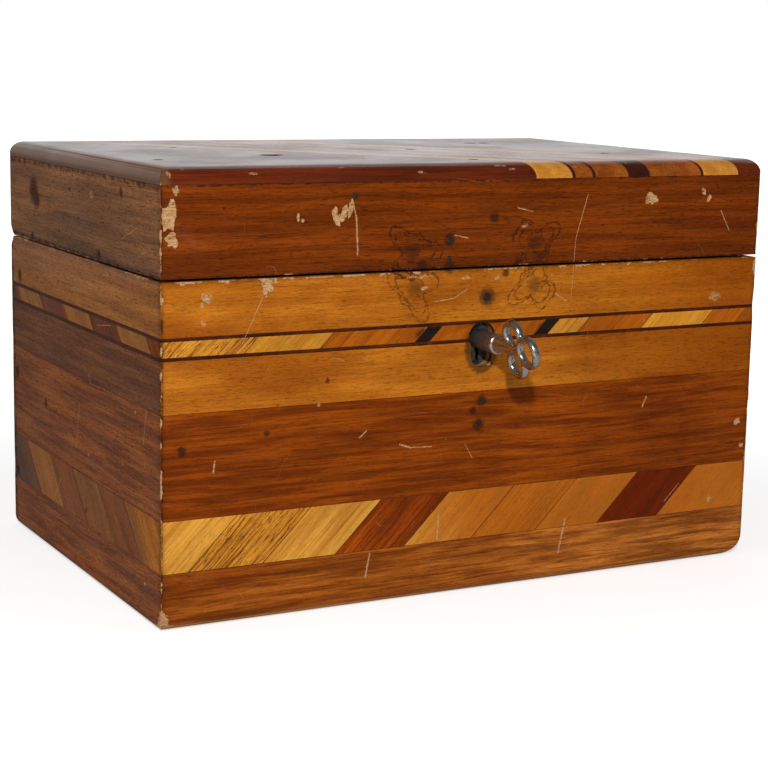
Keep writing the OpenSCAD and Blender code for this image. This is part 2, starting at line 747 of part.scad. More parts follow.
// The pipe key. Lengths run out from the front face
module key() color(STEEL) {
    collar_l = 2.4;
    neck_r = 1.9;
    neck_l = 9.9;
    junction = barrel_out + collar_l + neck_l;
    bore_l = barrel_tip_depth - lock_cover + pin_out + bore_spare;
    translate([0, front_y, key_z]) rotate([90, 0, 0]) {
        difference() {
            translate([0, 0, -barrel_tip_depth])
                cylinder(r = barrel_r, h = barrel_tip_depth + barrel_out);
            translate([0, 0, -barrel_tip_depth - past])
                cylinder(r = pin_r + running, h = bore_l + past);
        }
        // Two beads of the collar
        translate([0, 0, barrel_out]) cylinder(r = barrel_r * 0.83, h = collar_l);
        for (z = [0.25, 0.8])
            translate([0, 0, barrel_out + z * collar_l]) rotate_extrude()
                translate([barrel_r * 0.83, 0]) circle(0.5);
        // The neck narrows to the junction of the loops
        translate([0, 0, barrel_out + collar_l])
            cylinder(r1 = neck_r, r2 = wire_r * 1.1, h = neck_l);
        rotate([0, 0, bow_twist]) {
            for (side = [-1, 1])
                translate([0, side * (side_loop_r + wire_r * 0.65), junction - 0.4])
                    loop(side_loop_r);
            translate([0, 0, junction + end_loop_r + wire_r * 2.4]) loop(end_loop_r);
            translate([0, 0, junction]) sphere(wire_r * 1.5);
        }
    }
    // The bit hangs below the barrel, inside the lock
    from_front(bit_depth, bit_depth + bit_w)
        translate([-bit_t / 2, key_z - bit_reach]) square([bit_t, bit_reach - pin_r - 2 * running]);
}
// A wire loop of the bow, standing in the plane of the key's axis
module loop(r) rotate([0, 90, 0]) rotate_extrude() translate([r, 0]) circle(wire_r);

bottom_board();
front_board();
back_board();
left_board();
right_board();
front_base_band();
back_base_band();
left_base_band();
right_base_band();
long_light_blocks();
long_striped_blocks();
long_dark_blocks();
end_light_blocks();
end_dark_blocks();
front_dark_band();
back_dark_band();
left_dark_band();
right_dark_band();
front_middle_band();
back_middle_band();
left_middle_band();
right_middle_band();
stringing_lines();
long_light_slips();
long_orange_slips();
long_striped_slips();
black_lozenges();
end_light_slips();
end_dark_slips();
front_rim_band();
back_rim_band();
left_rim_band();
right_rim_band();
case_nails();
lid_nails();
lid_front_rail();
lid_back_rail();
lid_left_rail();
lid_right_rail();
top_left_field();
top_right_field();
top_light_strips();
top_orange_strips();
top_dark_strips();
hinge_case_leaves();
hinge_lid_leaves();
hinge_pins();
hinge_case_screws();
hinge_lid_screws();
lock_plate();
lock_cap();
lock_bolt();
bolt_spring();
drill_pin();
lock_screws();
link_plate();
link_screws();
key();
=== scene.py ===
import json
import math

import bmesh
import bpy
from mathutils import Matrix, Vector, noise


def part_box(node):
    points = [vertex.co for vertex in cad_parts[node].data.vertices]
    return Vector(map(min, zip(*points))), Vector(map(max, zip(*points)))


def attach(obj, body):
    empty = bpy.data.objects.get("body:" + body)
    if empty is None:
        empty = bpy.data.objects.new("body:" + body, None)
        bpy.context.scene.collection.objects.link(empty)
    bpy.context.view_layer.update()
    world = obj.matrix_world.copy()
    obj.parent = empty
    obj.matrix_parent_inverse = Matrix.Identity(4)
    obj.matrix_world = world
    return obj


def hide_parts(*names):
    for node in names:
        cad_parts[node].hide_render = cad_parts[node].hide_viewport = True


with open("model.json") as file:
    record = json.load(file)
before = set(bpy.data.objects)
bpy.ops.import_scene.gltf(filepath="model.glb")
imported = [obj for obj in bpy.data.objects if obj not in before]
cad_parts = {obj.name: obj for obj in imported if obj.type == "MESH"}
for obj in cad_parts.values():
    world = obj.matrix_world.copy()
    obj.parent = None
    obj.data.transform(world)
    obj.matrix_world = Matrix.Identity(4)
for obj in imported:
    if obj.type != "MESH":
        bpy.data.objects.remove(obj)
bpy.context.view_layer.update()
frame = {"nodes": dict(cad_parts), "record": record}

MM = 0.001

# The box's main sizes, in metres, from the frame
rim_low, rim_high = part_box("front_rim_band")
half_w = rim_high.x
front_y = rim_low.y
half_d = -front_y
field_low, box_top = (corner.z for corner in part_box("top_left_field"))
lid_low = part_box("lid_front_rail")[0].z
seam_z = (rim_high.z + lid_low) / 2
wide_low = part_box("long_light_blocks")[0].z
narrow_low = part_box("long_orange_slips")[0].z
key_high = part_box("key")[1]
pin_low, pin_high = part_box("drill_pin")
key_z = (pin_low.z + pin_high.z) / 2

# Tones measured on the box, as sRGB values
CREAM = (214, 176, 132)
# The rust tone is also the colour of the painted shade inside the keyhole
RUST_AND_SHADE = (38, 27, 22)
JOINT = (46, 20, 8)


def tone(colour):
    """An sRGB colour as the linear one that a shader takes."""
    shares = [c / 255 for c in colour]
    return (*(s / 12.92 if s <= 0.04045 else ((s + 0.055) / 1.055) ** 2.4 for s in shares), 1)


class Nodes:
    """Adds nodes to a tree. What feeds an input is a number, a colour or another node's output."""

    def __init__(self, tree):
        self.tree = tree

    def feed(self, socket, value):
        if isinstance(value, bpy.types.NodeSocket):
            self.tree.links.new(value, socket)
        else:
            socket.default_value = value

    def feed_all(self, node, inputs):
        for key, value in dict(inputs).items():
            self.feed(node.inputs[key], value)
        return node

    def add(self, kind, inputs=(), **settings):
        node = self.tree.nodes.new(kind)
        for name, value in settings.items():
            setattr(node, name, value)
        return self.feed_all(node, inputs)

    def math(self, operation, *values, clamp=False):
        node = self.add("ShaderNodeMath", enumerate(values), operation=operation, use_clamp=clamp)
        return node.outputs[0]

    def plus(self, first, second):
        return self.math("ADD", first, second)

    def minus(self, first, second):
        return self.math("SUBTRACT", first, second)

    def times(self, first, second):
        return self.math("MULTIPLY", first, second)

    def positive(self, value):
        return self.math("ABSOLUTE", value)

    def vector(self, operation, *values):
        node = self.add("ShaderNodeVectorMath", enumerate(values), operation=operation)
        single = operation in ("DOT_PRODUCT", "LENGTH", "DISTANCE")
        return node.outputs["Value" if single else "Vector"]

    def in_mm(self, place):
        return self.vector("DIVIDE", place, (MM,) * 3)

    def split(self, place):
        return self.add("ShaderNodeSeparateXYZ", {0: place}).outputs

    def join(self, x, y, z):
        return self.add("ShaderNodeCombineXYZ", {0: x, 1: y, 2: z}).outputs[0]

    def noise(self, place, stretch, detail=2, roughness=0.5, distortion=0, output="Fac"):
        """Noise at a place that is stretched by one number, or by one for each axis."""
        if not isinstance(stretch, tuple):
            stretch = (stretch,) * 3
        given = {"Vector": self.vector("MULTIPLY", place, stretch), "Scale": 1, "Detail": detail,
                 "Roughness": roughness, "Distortion": distortion}
        return self.add("ShaderNodeTexNoise", given).outputs[output]

    def shake(self, place, stretch, detail):
        """Noise from -0.5 to 0.5 along every axis."""
        found = self.noise(place, stretch, detail, output="Color")
        return self.vector("SUBTRACT", found, (0.5,) * 3)

    def between(self, value, low, high, start=0, end=1):
        """Goes smoothly from start to end while the value goes from low to high."""
        given = {"Value": value, "From Min": low, "From Max": high, "To Min": start, "To Max": end}
        node = self.add("ShaderNodeMapRange", given, interpolation_type="SMOOTHSTEP")
        return node.outputs[0]

    def mix(self, share, first, second, blend="MIX"):
        node = self.add("ShaderNodeMix", {0: share, 6: first, 7: second}, data_type="RGBA",
                        blend_type=blend, clamp_factor=True)
        return node.outputs[2]

    def either(self, *masks):
        """The strongest of several masks."""
        found = masks[0]
        for mask in masks[1:]:
            found = self.math("MAXIMUM", found, mask)
        return found

    def bump(self, height, strength, depth):
        """A bump whose depth is in millimetres."""
        return self.add("ShaderNodeBump", {"Height": height, "Strength": strength,
                                           "Distance": depth * MM}).outputs[0]

    def use(self, group, **inputs):
        """Places a shader group, with its inputs' names in small letters."""
        given = {name.capitalize(): value for name, value in inputs.items()}
        return self.add("ShaderNodeGroup", given, node_tree=group).outputs


SOCKETS = {float: "NodeSocketFloat", tuple: "NodeSocketVector"}


def shader_group(name, inputs, outputs):
    """An empty shader group with its inputs' first values, and the helper that fills it."""
    tree = bpy.data.node_groups.new(name, "ShaderNodeTree")
    for label, value in inputs.items():
        socket = tree.interface.new_socket(label, in_out="INPUT", socket_type=SOCKETS[type(value)])
        socket.default_value = value
    for label in outputs:
        tree.interface.new_socket(label, in_out="OUTPUT", socket_type="NodeSocketFloat")
    n = Nodes(tree)
    return tree, n, n.add("NodeGroupInput").outputs, n.add("NodeGroupOutput").inputs


def grain_group():
    """Grain of sawn wood. Place is in millimetres with x along the grain."""
    tree, n, given, out = shader_group(
        "grain", {"Place": (0.0, 0.0, 0.0), "Wander": 3.0, "Breadth": 4.0},
        ["Streak", "Line", "Pore", "Cloud", "Mottle"])
    place = given["Place"]
    n.feed(out["Mottle"], n.noise(place, (0.9, 2.6, 2.6), 3, 0.75))
    drift = n.minus(n.noise(place, (0.012, 0.05, 0.05)), 0.5)
    across = n.times(drift, given["Wander"])
    place = n.vector("ADD", place, n.join(0, across, across))
    broad = n.vector("DIVIDE", place, given["Breadth"])
    n.feed(out["Streak"], n.between(n.noise(broad, (0.06, 1, 1), 4, 0.6), 0.36, 0.66))
    n.feed(out["Line"], n.between(n.noise(place, (0.035, 1.7, 1.7), 5, 0.65), 0.46, 0.66))
    n.feed(out["Pore"], n.between(n.noise(place, (0.3, 3.8, 3.8), 2, 0.65), 0.56, 0.66))
    n.feed(out["Cloud"], n.noise(place, (0.02, 0.05, 0.05), 3))
    return tree


def edge_group():
    """How near a point lies to an outer edge of the case or the lid, 1 on the edge, broken up by
    noise. Bare is where the varnish is gone, Rubbed where it is dark and thin."""
    tree, n, given, out = shader_group(
        "edge wear", {"Place": (0.0, 0.0, 0.0), "Reach": 1.2, "Spread": 0.6}, ["Rubbed", "Bare"])
    place = n.in_mm(given["Place"])
    x, y, z = n.split(place)
    from_side = n.minus(half_w / MM, n.positive(x))
    from_front = n.minus(half_d / MM, n.positive(y))
    from_seam = n.positive(n.minus(z, seam_z / MM))
    from_top = n.minus(box_top / MM, z)
    level = n.math("MINIMUM", n.math("MINIMUM", from_top, from_seam), n.positive(z))
    near = n.math("MINIMUM", from_side, from_front)
    far = n.math("MAXIMUM", from_side, from_front)
    second = n.math("MAXIMUM", near, n.math("MINIMUM", far, level))
    patches = n.noise(place, 0.16, 5, 0.7)
    ragged = n.noise(place, 0.9, 4, 0.7)
    width = n.times(n.between(patches, 0.42, 0.7), given["Reach"])
    width = n.times(width, n.plus(ragged, 0.4))
    # The front left foot corner is rubbed the most
    corner = n.vector("DISTANCE", place, (-half_w / MM, front_y / MM, 1))
    corner = n.math("MULTIPLY_ADD", ragged, 7, corner)
    width = n.plus(width, n.between(corner, 5, 12, 3.2, 0))
    n.feed(out["Bare"], n.between(n.minus(width, second), -0.05, 0.1))
    soft = n.math("DIVIDE", second, n.plus(given["Spread"], n.times(ragged, 3)))
    n.feed(out["Rubbed"], n.between(soft, 0, 1, 1, 0))
    return tree


def age_group():
    """Marks of use that lie anywhere: pale specks, fine scratches, dark spots and dull patches."""
    tree, n, given, out = shader_group("age", {"Place": (0.0, 0.0, 0.0), "Amount": 0.5},
                                       ["Speck", "Scratch", "Spot", "Dull"])
    place = n.in_mm(given["Place"])
    warp = n.vector("ADD", place, n.noise(place, 0.9, output="Color"))
    for label, step, size in (("Speck", 0.09, 0.108), ("Spot", 0.05, 0.096)):
        cells = n.add("ShaderNodeTexVoronoi", {"Vector": warp, "Scale": step})
        pick = n.split(cells.outputs["Color"])[0]
        chosen = n.math("GREATER_THAN", pick, 0.62)
        dot = n.minus(n.times(n.minus(pick, 0.5), size), cells.outputs["Distance"])
        mask = n.times(n.between(dot, 0, 0.012), chosen)
        n.feed(out[label], n.times(mask, given["Amount"]))
    lines = n.noise(place, (0.05, 0.05, 0.028), 2, 0.4, 0.6)
    thin = n.between(n.positive(n.minus(lines, 0.5)), 0.0004, 0.0016, 1, 0)
    part = n.between(n.noise(place, 0.11), 0.56, 0.64)
    n.feed(out["Scratch"], n.times(n.times(thin, part), given["Amount"]))
    n.feed(out["Dull"], n.noise(place, (0.03, 0.03, 0.09), 4, 0.6))
    return tree


# Marks of the front, in millimetres from its left edge and its foot. Scratches have two ends and a
# half width
FRONT_SCRATCHES = [
    (65, 135, 66.6, 129, 0.22), (66.6, 129, 67.2, 117.5, 0.3), (155, 135, 150.6, 120, 0.14),
    (150.6, 120, 149.6, 100, 0.1), (34, 105, 27, 90.5, 0.13), (84, 54, 88, 52.6, 0.3),
    (88, 52.6, 96, 52.3, 0.18), (183, 63, 181.4, 59.5, 0.3), (96, 101, 103, 101.6, 0.14),
    (103, 101.6, 108.5, 104.6, 0.16), (143, 101.5, 147.6, 98.8, 0.2),
    (103, 122.6, 108, 121.5, 0.2), (69, 57.5, 71.5, 59.5, 0.25), (109, 52, 112, 47, 0.12),
    (148, 10, 150.5, 22, 0.35), (72, 10, 73.5, 18, 0.3), (99, 20, 99.4, 29, 0.3),
    (18, 54, 17.6, 50.5, 0.3), (199, 30, 193, 24, 0.12), (212, 128, 216, 121, 0.2),
    (127, 131, 133, 129.6, 0.16)]
# Rust ghosts of four lost rosettes: centre, strength, turn of the scroll
GHOSTS = [
    ((87.2, 117.4), 0.85, 0.4), ((134.2, 119), 0.75, 2.2), ((88.6, 105.2), 0.6, 4.0),
    ((134.4, 104.8), 0.7, 5.4)]
# Dark stains: centre and size
FRONT_STAINS = [
    (101, 112.3, 3), (91, 113, 3.4), (128, 112.6, 2.6), (116, 101.5, 4.4), (115, 66.5, 3),
    (114, 58.4, 3.2), (111.6, 63.4, 2), (101, 121, 2.8), (118, 128, 2.6), (66, 136, 1.6),
    (57, 77, 1.2), (21, 133, 0.8), (7, 58, 2.4), (36, 61.5, 1.4), (123, 109.4, 2), (91.5, 90, 3.4),
    (138.4, 90, 2.6)]
# Pale marks: centre, half width, half height
FRONT_PALE = [
    (211, 97.5, 2.6, 1.6), (130, 125, 1.2, 0.7), (14, 98, 0.8, 1.2), (54, 69.5, 0.7, 0.7),
    (108, 108.4, 2.4, 0.5), (90, 109.4, 5, 0.45), (119.6, 108, 1, 0.8), (116, 79, 2, 0.6)]
# Marks of the left end, in millimetres from the front face and the foot
LEFT_SCRATCHES = [
    (20, 126, 34, 121, 0.15), (76, 60, 80, 44, 0.14), (44, 92, 58, 90, 0.12),
    (96, 30, 104, 22, 0.14), (12, 70, 15, 58, 0.15), (118, 100, 122, 88, 0.12)]
LEFT_STAINS = [
    (124, 130, 7), (121, 127, 5.4), (55, 114, 2.2), (113, 54, 2.4), (84, 133, 1.4), (34, 136, 2.2),
    (96, 118, 1.2), (142, 97, 3.4), (70, 24, 1.2), (8, 112.2, 1.6), (126, 112.6, 2.6),
    (147, 60, 3.6), (148, 22, 3)]
LEFT_PALE = [
    (62, 133, 1.9, 1.2), (22, 67, 0.8, 0.8), (34, 48, 0.8, 0.6), (67, 44, 0.7, 0.8),
    (14, 13, 0.9, 0.7), (32, 9, 1, 0.6), (60, 111, 5, 0.4), (104, 110.4, 4, 0.4),
    (18, 110.6, 5, 0.4), (60, 1.4, 14, 0.6)]
# Marks of the top, in millimetres from the left edge and the front face
TOP_SCRATCHES = [
    (40, 22, 92, 40, 0.12), (150, 60, 196, 84, 0.14), (60, 96, 110, 90, 0.12),
    (100, 12, 130, 16, 0.14), (20, 60, 30, 96, 0.12), (160, 20, 178, 12, 0.14)]
TOP_STAINS = [
    (13, 35, 2.4), (60, 52, 4.6), (63, 53, 3), (128, 77, 2.6), (120, 18, 2.4), (175, 113, 3),
    (181, 113, 3), (190, 42, 2.2), (84, 30, 1), (44, 100, 1.6)]
TOP_PALE = [
    (70, 66, 0.9, 0.6), (110, 44, 0.8, 0.5), (31, 1, 1.6, 0.25), (62, 2.4, 1.2, 0.3),
    (90, 0.8, 1, 0.2), (121, 2.2, 2.4, 0.3), (125, 1.2, 1.2, 0.25), (44, 3.4, 0.8, 0.2),
    (8, 2.6, 0.6, 0.4), (3, 1.2, 0.8, 0.7), (150, 1.4, 1, 0.2), (172, 2.8, 0.5, 0.3)]
# Grime along joints: two ends and a half width, for the front and for the left end
FRONT_GRIME = [
    (0, 140.3, 56, 140.6, 0.6), (56, 140.6, 118, 140.2, 0.4), (118, 140.2, 229, 140.5, 0.25),
    (0, 111.9, 229, 112.2, 0.45), (0.2, 12, 0.2, 60, 0.5), (0.3, 60, 0.3, 108, 0.6),
    (0.3, 114, 0.3, 139, 0.5), (91, 87, 94.5, 92.8, 0.8), (137.4, 88, 140.2, 92.4, 0.8)]
LEFT_GRIME = [
    (2, 140, 60, 140.8, 1.6), (60, 140.8, 152, 140.2, 2), (0, 112.1, 152, 112.3, 0.8),
    (150, 4, 151, 108, 1.8), (2, 93.6, 152, 93.8, 0.3), (2, 86.6, 152, 86.8, 0.3)]


def drawn_lines(n, place, segments):
    """A mask of straight lines, each with its two ends and its half width."""
    drawn = 0
    for x0, z0, x1, z1, half in segments:
        run = Vector((x1 - x0, z1 - z0, 0))
        unit = run / run.length_squared
        along = n.math("SUBTRACT", n.vector("DOT_PRODUCT", place, tuple(unit)),
                       unit.dot(Vector((x0, z0, 0))), clamp=True)
        nearest = n.vector("MULTIPLY_ADD", n.join(along, along, 0), tuple(run), (x0, z0, 0))
        off = n.vector("DISTANCE", place, nearest)
        drawn = n.either(drawn, n.between(off, half * 0.5, half * 1.3, 1, 0))
    return drawn


def rosette_ghost(n, place, broken, coarse, centre, strength, turn):
    """The rust of a lost rosette: a disc inside three scrolled rings."""
    arm = n.vector("SUBTRACT", place, (*centre, 0))
    far = n.vector("LENGTH", arm)
    across, up, _ = n.split(arm)
    angle = n.plus(n.math("ARCTAN2", up, across), turn)
    lobes = n.plus(n.math("SINE", n.times(angle, 3)),
                   n.times(n.math("SINE", n.times(angle, 5)), 0.6))
    rust = n.between(n.times(far, n.plus(broken, 0.5)), 0.8, 4.4, strength * 0.8, 0)
    for reach, size in ((1.7, 5.8), (-1.3, 4.0), (2.6, 7.4)):
        ring = n.math("MULTIPLY_ADD", lobes, reach, size)
        line = n.between(n.positive(n.minus(far, ring)), 0.15, 0.6, strength, 0)
        shown = n.between(n.plus(coarse, 0.02 * reach), 0.44, 0.54)
        rust = n.either(rust, n.times(line, shown))
    return rust


def keyhole_grime_and_shade(n, place, shaken):
    """Grime round the keyhole, and painted shade that darkens the wood inside it."""
    middle = (half_w / MM, key_z / MM - 3, 0)
    hole = n.vector("DIVIDE", n.vector("SUBTRACT", shaken, middle), (0.78, 1, 1))
    grime = n.between(n.vector("LENGTH", hole), 7.4, 9.2, 0.75, 0)
    x, y, z = n.split(place)
    # Painted shade: the wood set back inside the keyhole is darkened
    deep = n.math("GREATER_THAN", y, front_y + 0.3 * MM)
    beside = n.math("LESS_THAN", n.positive(x), 6.5 * MM)
    level = n.math("LESS_THAN", n.positive(n.minus(z, key_z)), 12 * MM)
    return n.either(grime, n.times(deep, n.times(beside, level)))


def marks_group(side, scratches, stains, pales, grimes=(), ghosts=()):
    """The marks of one side at their own places: the front, the left end or the top."""
    tree, n, given, out = shader_group(side + " marks", {"Place": (0.0, 0.0, 0.0)},
                                       ["Scratch", "Rust and shade", "Pale"])
    x, y, z = n.split(given["Place"])
    from_left = n.math("DIVIDE", n.plus(x, half_w), MM)
    from_front = n.math("DIVIDE", n.minus(y, front_y), MM)
    from_foot = n.math("DIVIDE", z, MM)
    across, up, here = {
        "front": (from_left, from_foot, n.math("LESS_THAN", from_front, 4)),
        "left": (from_front, from_foot, n.math("LESS_THAN", from_left, 4)),
        "top": (from_left, from_front, n.math("GREATER_THAN", z, field_low))}[side]
    flat = n.join(across, up, 0)
    shake = n.shake(flat, 0.7, 4)
    shaken, barely = (n.vector("MULTIPLY_ADD", shake, (reach, reach, 0), flat)
                      for reach in (2.4, 0.5))
    around, core, strength = (barely, 0.7, 1) if side == "top" else (shaken, 0.35, 0.8)
    broken = n.noise(flat, 0.8, 3, 0.7)
    coarse = n.noise(flat, 0.25, 4, 0.7)
    scratch = n.times(drawn_lines(n, barely, scratches), n.between(broken, 0.3, 0.5, 0.25, 1))
    rust = n.times(drawn_lines(n, barely, grimes), n.between(coarse, 0.42, 0.58, 0.1, 0.8))
    for across, up, size in stains:
        off = n.vector("DISTANCE", shaken, (across, up, 0))
        rust = n.either(rust, n.between(off, size * core, size, strength, 0))
    for ghost in ghosts:
        rust = n.either(rust, rosette_ghost(n, shaken, broken, coarse, *ghost))
    # The keyhole adds its grime and the painted shade inside it to the rust mask
    if side == "front":
        rust = n.either(rust, keyhole_grime_and_shade(n, given["Place"], shaken))
    pale = 0
    for across, up, wide, high in pales:
        arm = n.vector("DIVIDE", n.vector("SUBTRACT", around, (across, up, 0)), (wide, high, 1))
        pale = n.either(pale, n.between(n.vector("LENGTH", arm), 0.8, 1.15, 0.8, 0))
    pale = n.times(pale, n.between(broken, 0.4, 0.56, 0.1, 1))
    for label, mask in (("Scratch", scratch), ("Rust and shade", rust), ("Pale", pale)):
        n.feed(out[label], n.times(mask, here))
    return tree


GRAIN, EDGE, AGE = grain_group(), edge_group(), age_group()
MARKS = {"front": marks_group("front", FRONT_SCRATCHES, FRONT_STAINS, FRONT_PALE,
                              FRONT_GRIME, GHOSTS),
         "left": marks_group("left", LEFT_SCRATCHES, LEFT_STAINS, LEFT_PALE, LEFT_GRIME),
         "top": marks_group("top", TOP_SCRATCHES, TOP_STAINS, TOP_PALE)}


def start_material(name):
    """A material with its Principled shader and the place of each point on the piece."""
    material = bpy.data.materials.new(name)
    material.use_nodes = True
    n = Nodes(material.node_tree)
    shader = material.node_tree.nodes["Principled BSDF"]
    place = n.add("ShaderNodeTexCoord").outputs["Object"]
    return material, n, shader, place


# The ways that grain runs. Each gives a place in millimetres with x along the grain, and the number
# of the block or strip. Neighbouring blocks are cut a plank step apart
BLOCK_L = 25.8
SLIP_L = 26.5
PLANK_STEP = 371
STRIPS_WIDE = 58
STRIP_STEP = 11


def along_sides(n, place):
    x, y, z = n.split(n.in_mm(place))
    return n.join(x, z, y), 0


def along_ends(n, place):
    x, y, z = n.split(n.in_mm(place))
    return n.join(y, z, x), 0


def slanted(length, start, foot, ends=False):
    """The way of blocks whose joints and grain lean at 45 degrees, counted from the place where a
    joint starts at the foot of the band. The back has the front's order, turned round."""
    def way(n, place):
        x, y, z = n.split(n.in_mm(place))
        along, across = (y, x) if ends else (n.times(x, n.math("SIGN", n.times(y, -1))), y)
        lean = n.minus(along, n.minus(z, foot / MM))
        number = n.math("FLOOR", n.math("DIVIDE", n.minus(lean, start), length))
        up = n.times(n.plus(along, z), math.sqrt(0.5))
        side = n.times(n.minus(z, along), math.sqrt(0.5))
        return n.join(n.math("MULTIPLY_ADD", number, PLANK_STEP, up), side, across), number
    return way


long_blocks = slanted(BLOCK_L, 9 - half_w / MM, wide_low)
end_blocks = slanted(BLOCK_L, 16 - half_d / MM, wide_low, ends=True)
long_slips = slanted(SLIP_L, 0, narrow_low)
end_slips = slanted(SLIP_L, 8 - half_d / MM, narrow_low, ends=True)


def along_strips(n, place):
    """The strips of the top, which lean back to the left."""
    low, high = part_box("top_light_strips")
    lean = (high.x - low.x - STRIPS_WIDE * MM) / (high.y - low.y)
    way = Vector((-lean, 1, 0)).normalized()
    side = Vector((way.y, -way.x, 0))
    mm = n.in_mm(place)
    across = n.vector("DOT_PRODUCT", mm, tuple(side))
    number = n.math("FLOOR", n.math("DIVIDE", across, STRIP_STEP))
    return n.join(n.vector("DOT_PRODUCT", mm, tuple(way)), across, n.split(mm)[2]), number


def wood(name, way, light, dark, streak=0.5, line=0.35, pore=0.4, breadth=4.0, wander=3.0,
         vary=0.12, level=0.07, rough=0.45, coat=0.0, wear=1.0, spread=0.6, age=0.5, marks=None,
         mottle=0.55, right_tone_and_shading=None, turns=(-45, 5), calm=False, flame=None, pore_tone=(36, 12, 2)):
    """Varnished wood with its own grain, worn at the box's edges. The tone given for the right is
    the one that it turns to on the right, between the two places in turns: partly the wood's own
    tone and partly painted shading for the lamp's fall across the front, mostly darker to the
    right. Calm wood is less striped on the right. Flame is a redder tone in broad patches."""
    material, n, shader, place = start_material(name)
    grain_place, number = way(n, place)
    grain = n.use(GRAIN, place=grain_place, wander=wander, breadth=breadth)
    x, y, _ = n.split(n.in_mm(place))
    if calm:
        right = n.math("GREATER_THAN", x, 0)
        streak, line, pore = (n.math("MULTIPLY_ADD", right, -0.6 * v, v)
                              for v in (streak, line, pore))
    colour = tone(light)
    # Painted shading: the tone changes from left to right, partly the wood's own tone and partly
    # the lamp's fall across the front
    if right_tone_and_shading:
        colour = n.mix(n.between(x, *turns), colour, tone(right_tone_and_shading))
    if flame:
        colour = n.mix(n.between(grain["Cloud"], 0.56, 0.34, 0, 0.55), colour, tone(flame))
    for part, share, tint in (("Streak", streak, dark), ("Line", line, dark),
                              ("Pore", pore, pore_tone)):
        colour = n.mix(n.times(grain[part], share), colour, tone(tint))
    seed = n.add("ShaderNodeTexWhiteNoise", {"W": number}, noise_dimensions="1D").outputs["Value"]
    shade = 1
    for chance, strength in ((seed, vary), (grain["Cloud"], 0.7), (grain["Mottle"], mottle)):
        shade = n.math("MULTIPLY_ADD", n.minus(chance, 0.5), strength, shade)
    colour = n.mix(1, colour, n.join(shade, shade, shade), "MULTIPLY")
    edge = n.use(EDGE, place=place, reach=wear, spread=spread)
    old = n.use(AGE, place=place, amount=age)
    colour = n.mix(n.times(edge["Rubbed"], 0.4), colour, tone((56, 22, 6)))
    colour = n.mix(n.times(old["Spot"], 0.8), colour, tone(RUST_AND_SHADE))
    bare = n.either(edge["Bare"], old["Speck"], n.times(old["Scratch"], 0.7))
    plain = n.minus(1, old["Spot"])
    if marks:
        mark = n.use(MARKS[marks], place=place)
        # The rust mask darkens rust, stains and grime, and paints the shade inside the keyhole
        plain = n.times(plain, n.minus(1, mark["Rust and shade"]))
        colour = n.mix(n.times(mark["Rust and shade"], 0.92), colour, tone(RUST_AND_SHADE))
        bare = n.either(bare, mark["Scratch"], mark["Pale"])
    if marks == "top":
        # The rounded sides of the top are rubbed dull, and brown at the left
        from_left = n.plus(x, half_w / MM)
        from_front = n.plus(y, half_d / MM)
        rounded = n.between(n.math("MINIMUM", from_left, from_front), 1, 5, 0.3, 1)
        plain = n.times(plain, rounded)
        colour = n.mix(n.between(from_left, 1.5, 4.5, 0.8, 0), colour, tone((112, 74, 44)))
    raw = n.mix(n.between(grain["Mottle"], 0.35, 0.65), tone(CREAM), tone((176, 116, 70)))
    gloss = n.math("MULTIPLY_ADD", old["Dull"], 0.3, rough - 0.15)
    gloss = n.plus(gloss, n.times(bare, 0.35))
    height = n.minus(n.times(grain["Mottle"], 0.3),
                     n.either(n.times(bare, 1.2), n.times(grain["Pore"], 0.5)))
    height = n.math("MULTIPLY_ADD", old["Dull"], 0.6, height)
    n.feed_all(shader, {
        "Base Color": n.mix(n.times(bare, 0.85), colour, raw),
        "Roughness": n.plus(gloss, n.times(grain["Pore"], 0.1)),
        "Specular IOR Level": n.times(plain, level),
        "Normal": n.bump(height, 0.12 if coat else 0.35, 0.15)})
    if coat:
        sound = n.times(plain, n.minus(1, bare))
        n.feed_all(shader, {"Coat Weight": n.times(sound, coat),
                            "Coat Roughness": n.between(old["Dull"], 0.35, 0.62, 0.05, 0.3)})
    return material


def broken_wood():
    """Raw pale wood where a chip has come away, dirty in its hollows."""
    material, n, shader, place = start_material("broken wood")
    mm = n.in_mm(place)
    fibre = n.noise(mm, (0.25, 3, 3), 4, 0.6)
    dirt = n.noise(mm, 0.5, 4, 0.7)
    colour = n.mix(n.between(fibre, 0.35, 0.65), tone((212, 172, 124)), tone((176, 124, 76)))
    n.feed_all(shader, {
        "Base Color": n.mix(n.between(dirt, 0.5, 0.68), colour, tone((120, 74, 36))),
        "Roughness": n.between(dirt, 0.3, 0.7, 0.7, 0.9),
        "Specular IOR Level": 0.2,
        "Normal": n.bump(fibre, 0.6, 0.2)})
    return material


def joint_dirt():
    """Dark wax and dirt in the fine joints of the parquetry."""
    material, n, shader, place = start_material("joint dirt")
    patch = n.noise(n.in_mm(place), 0.4, 4, 0.7)
    n.feed_all(shader, {
        "Base Color": n.mix(n.between(patch, 0.4, 0.62), tone(JOINT), tone((104, 54, 20))),
        "Roughness": n.between(patch, 0.3, 0.7, 0.55, 0.8),
        "Specular IOR Level": 0.2})
    return material


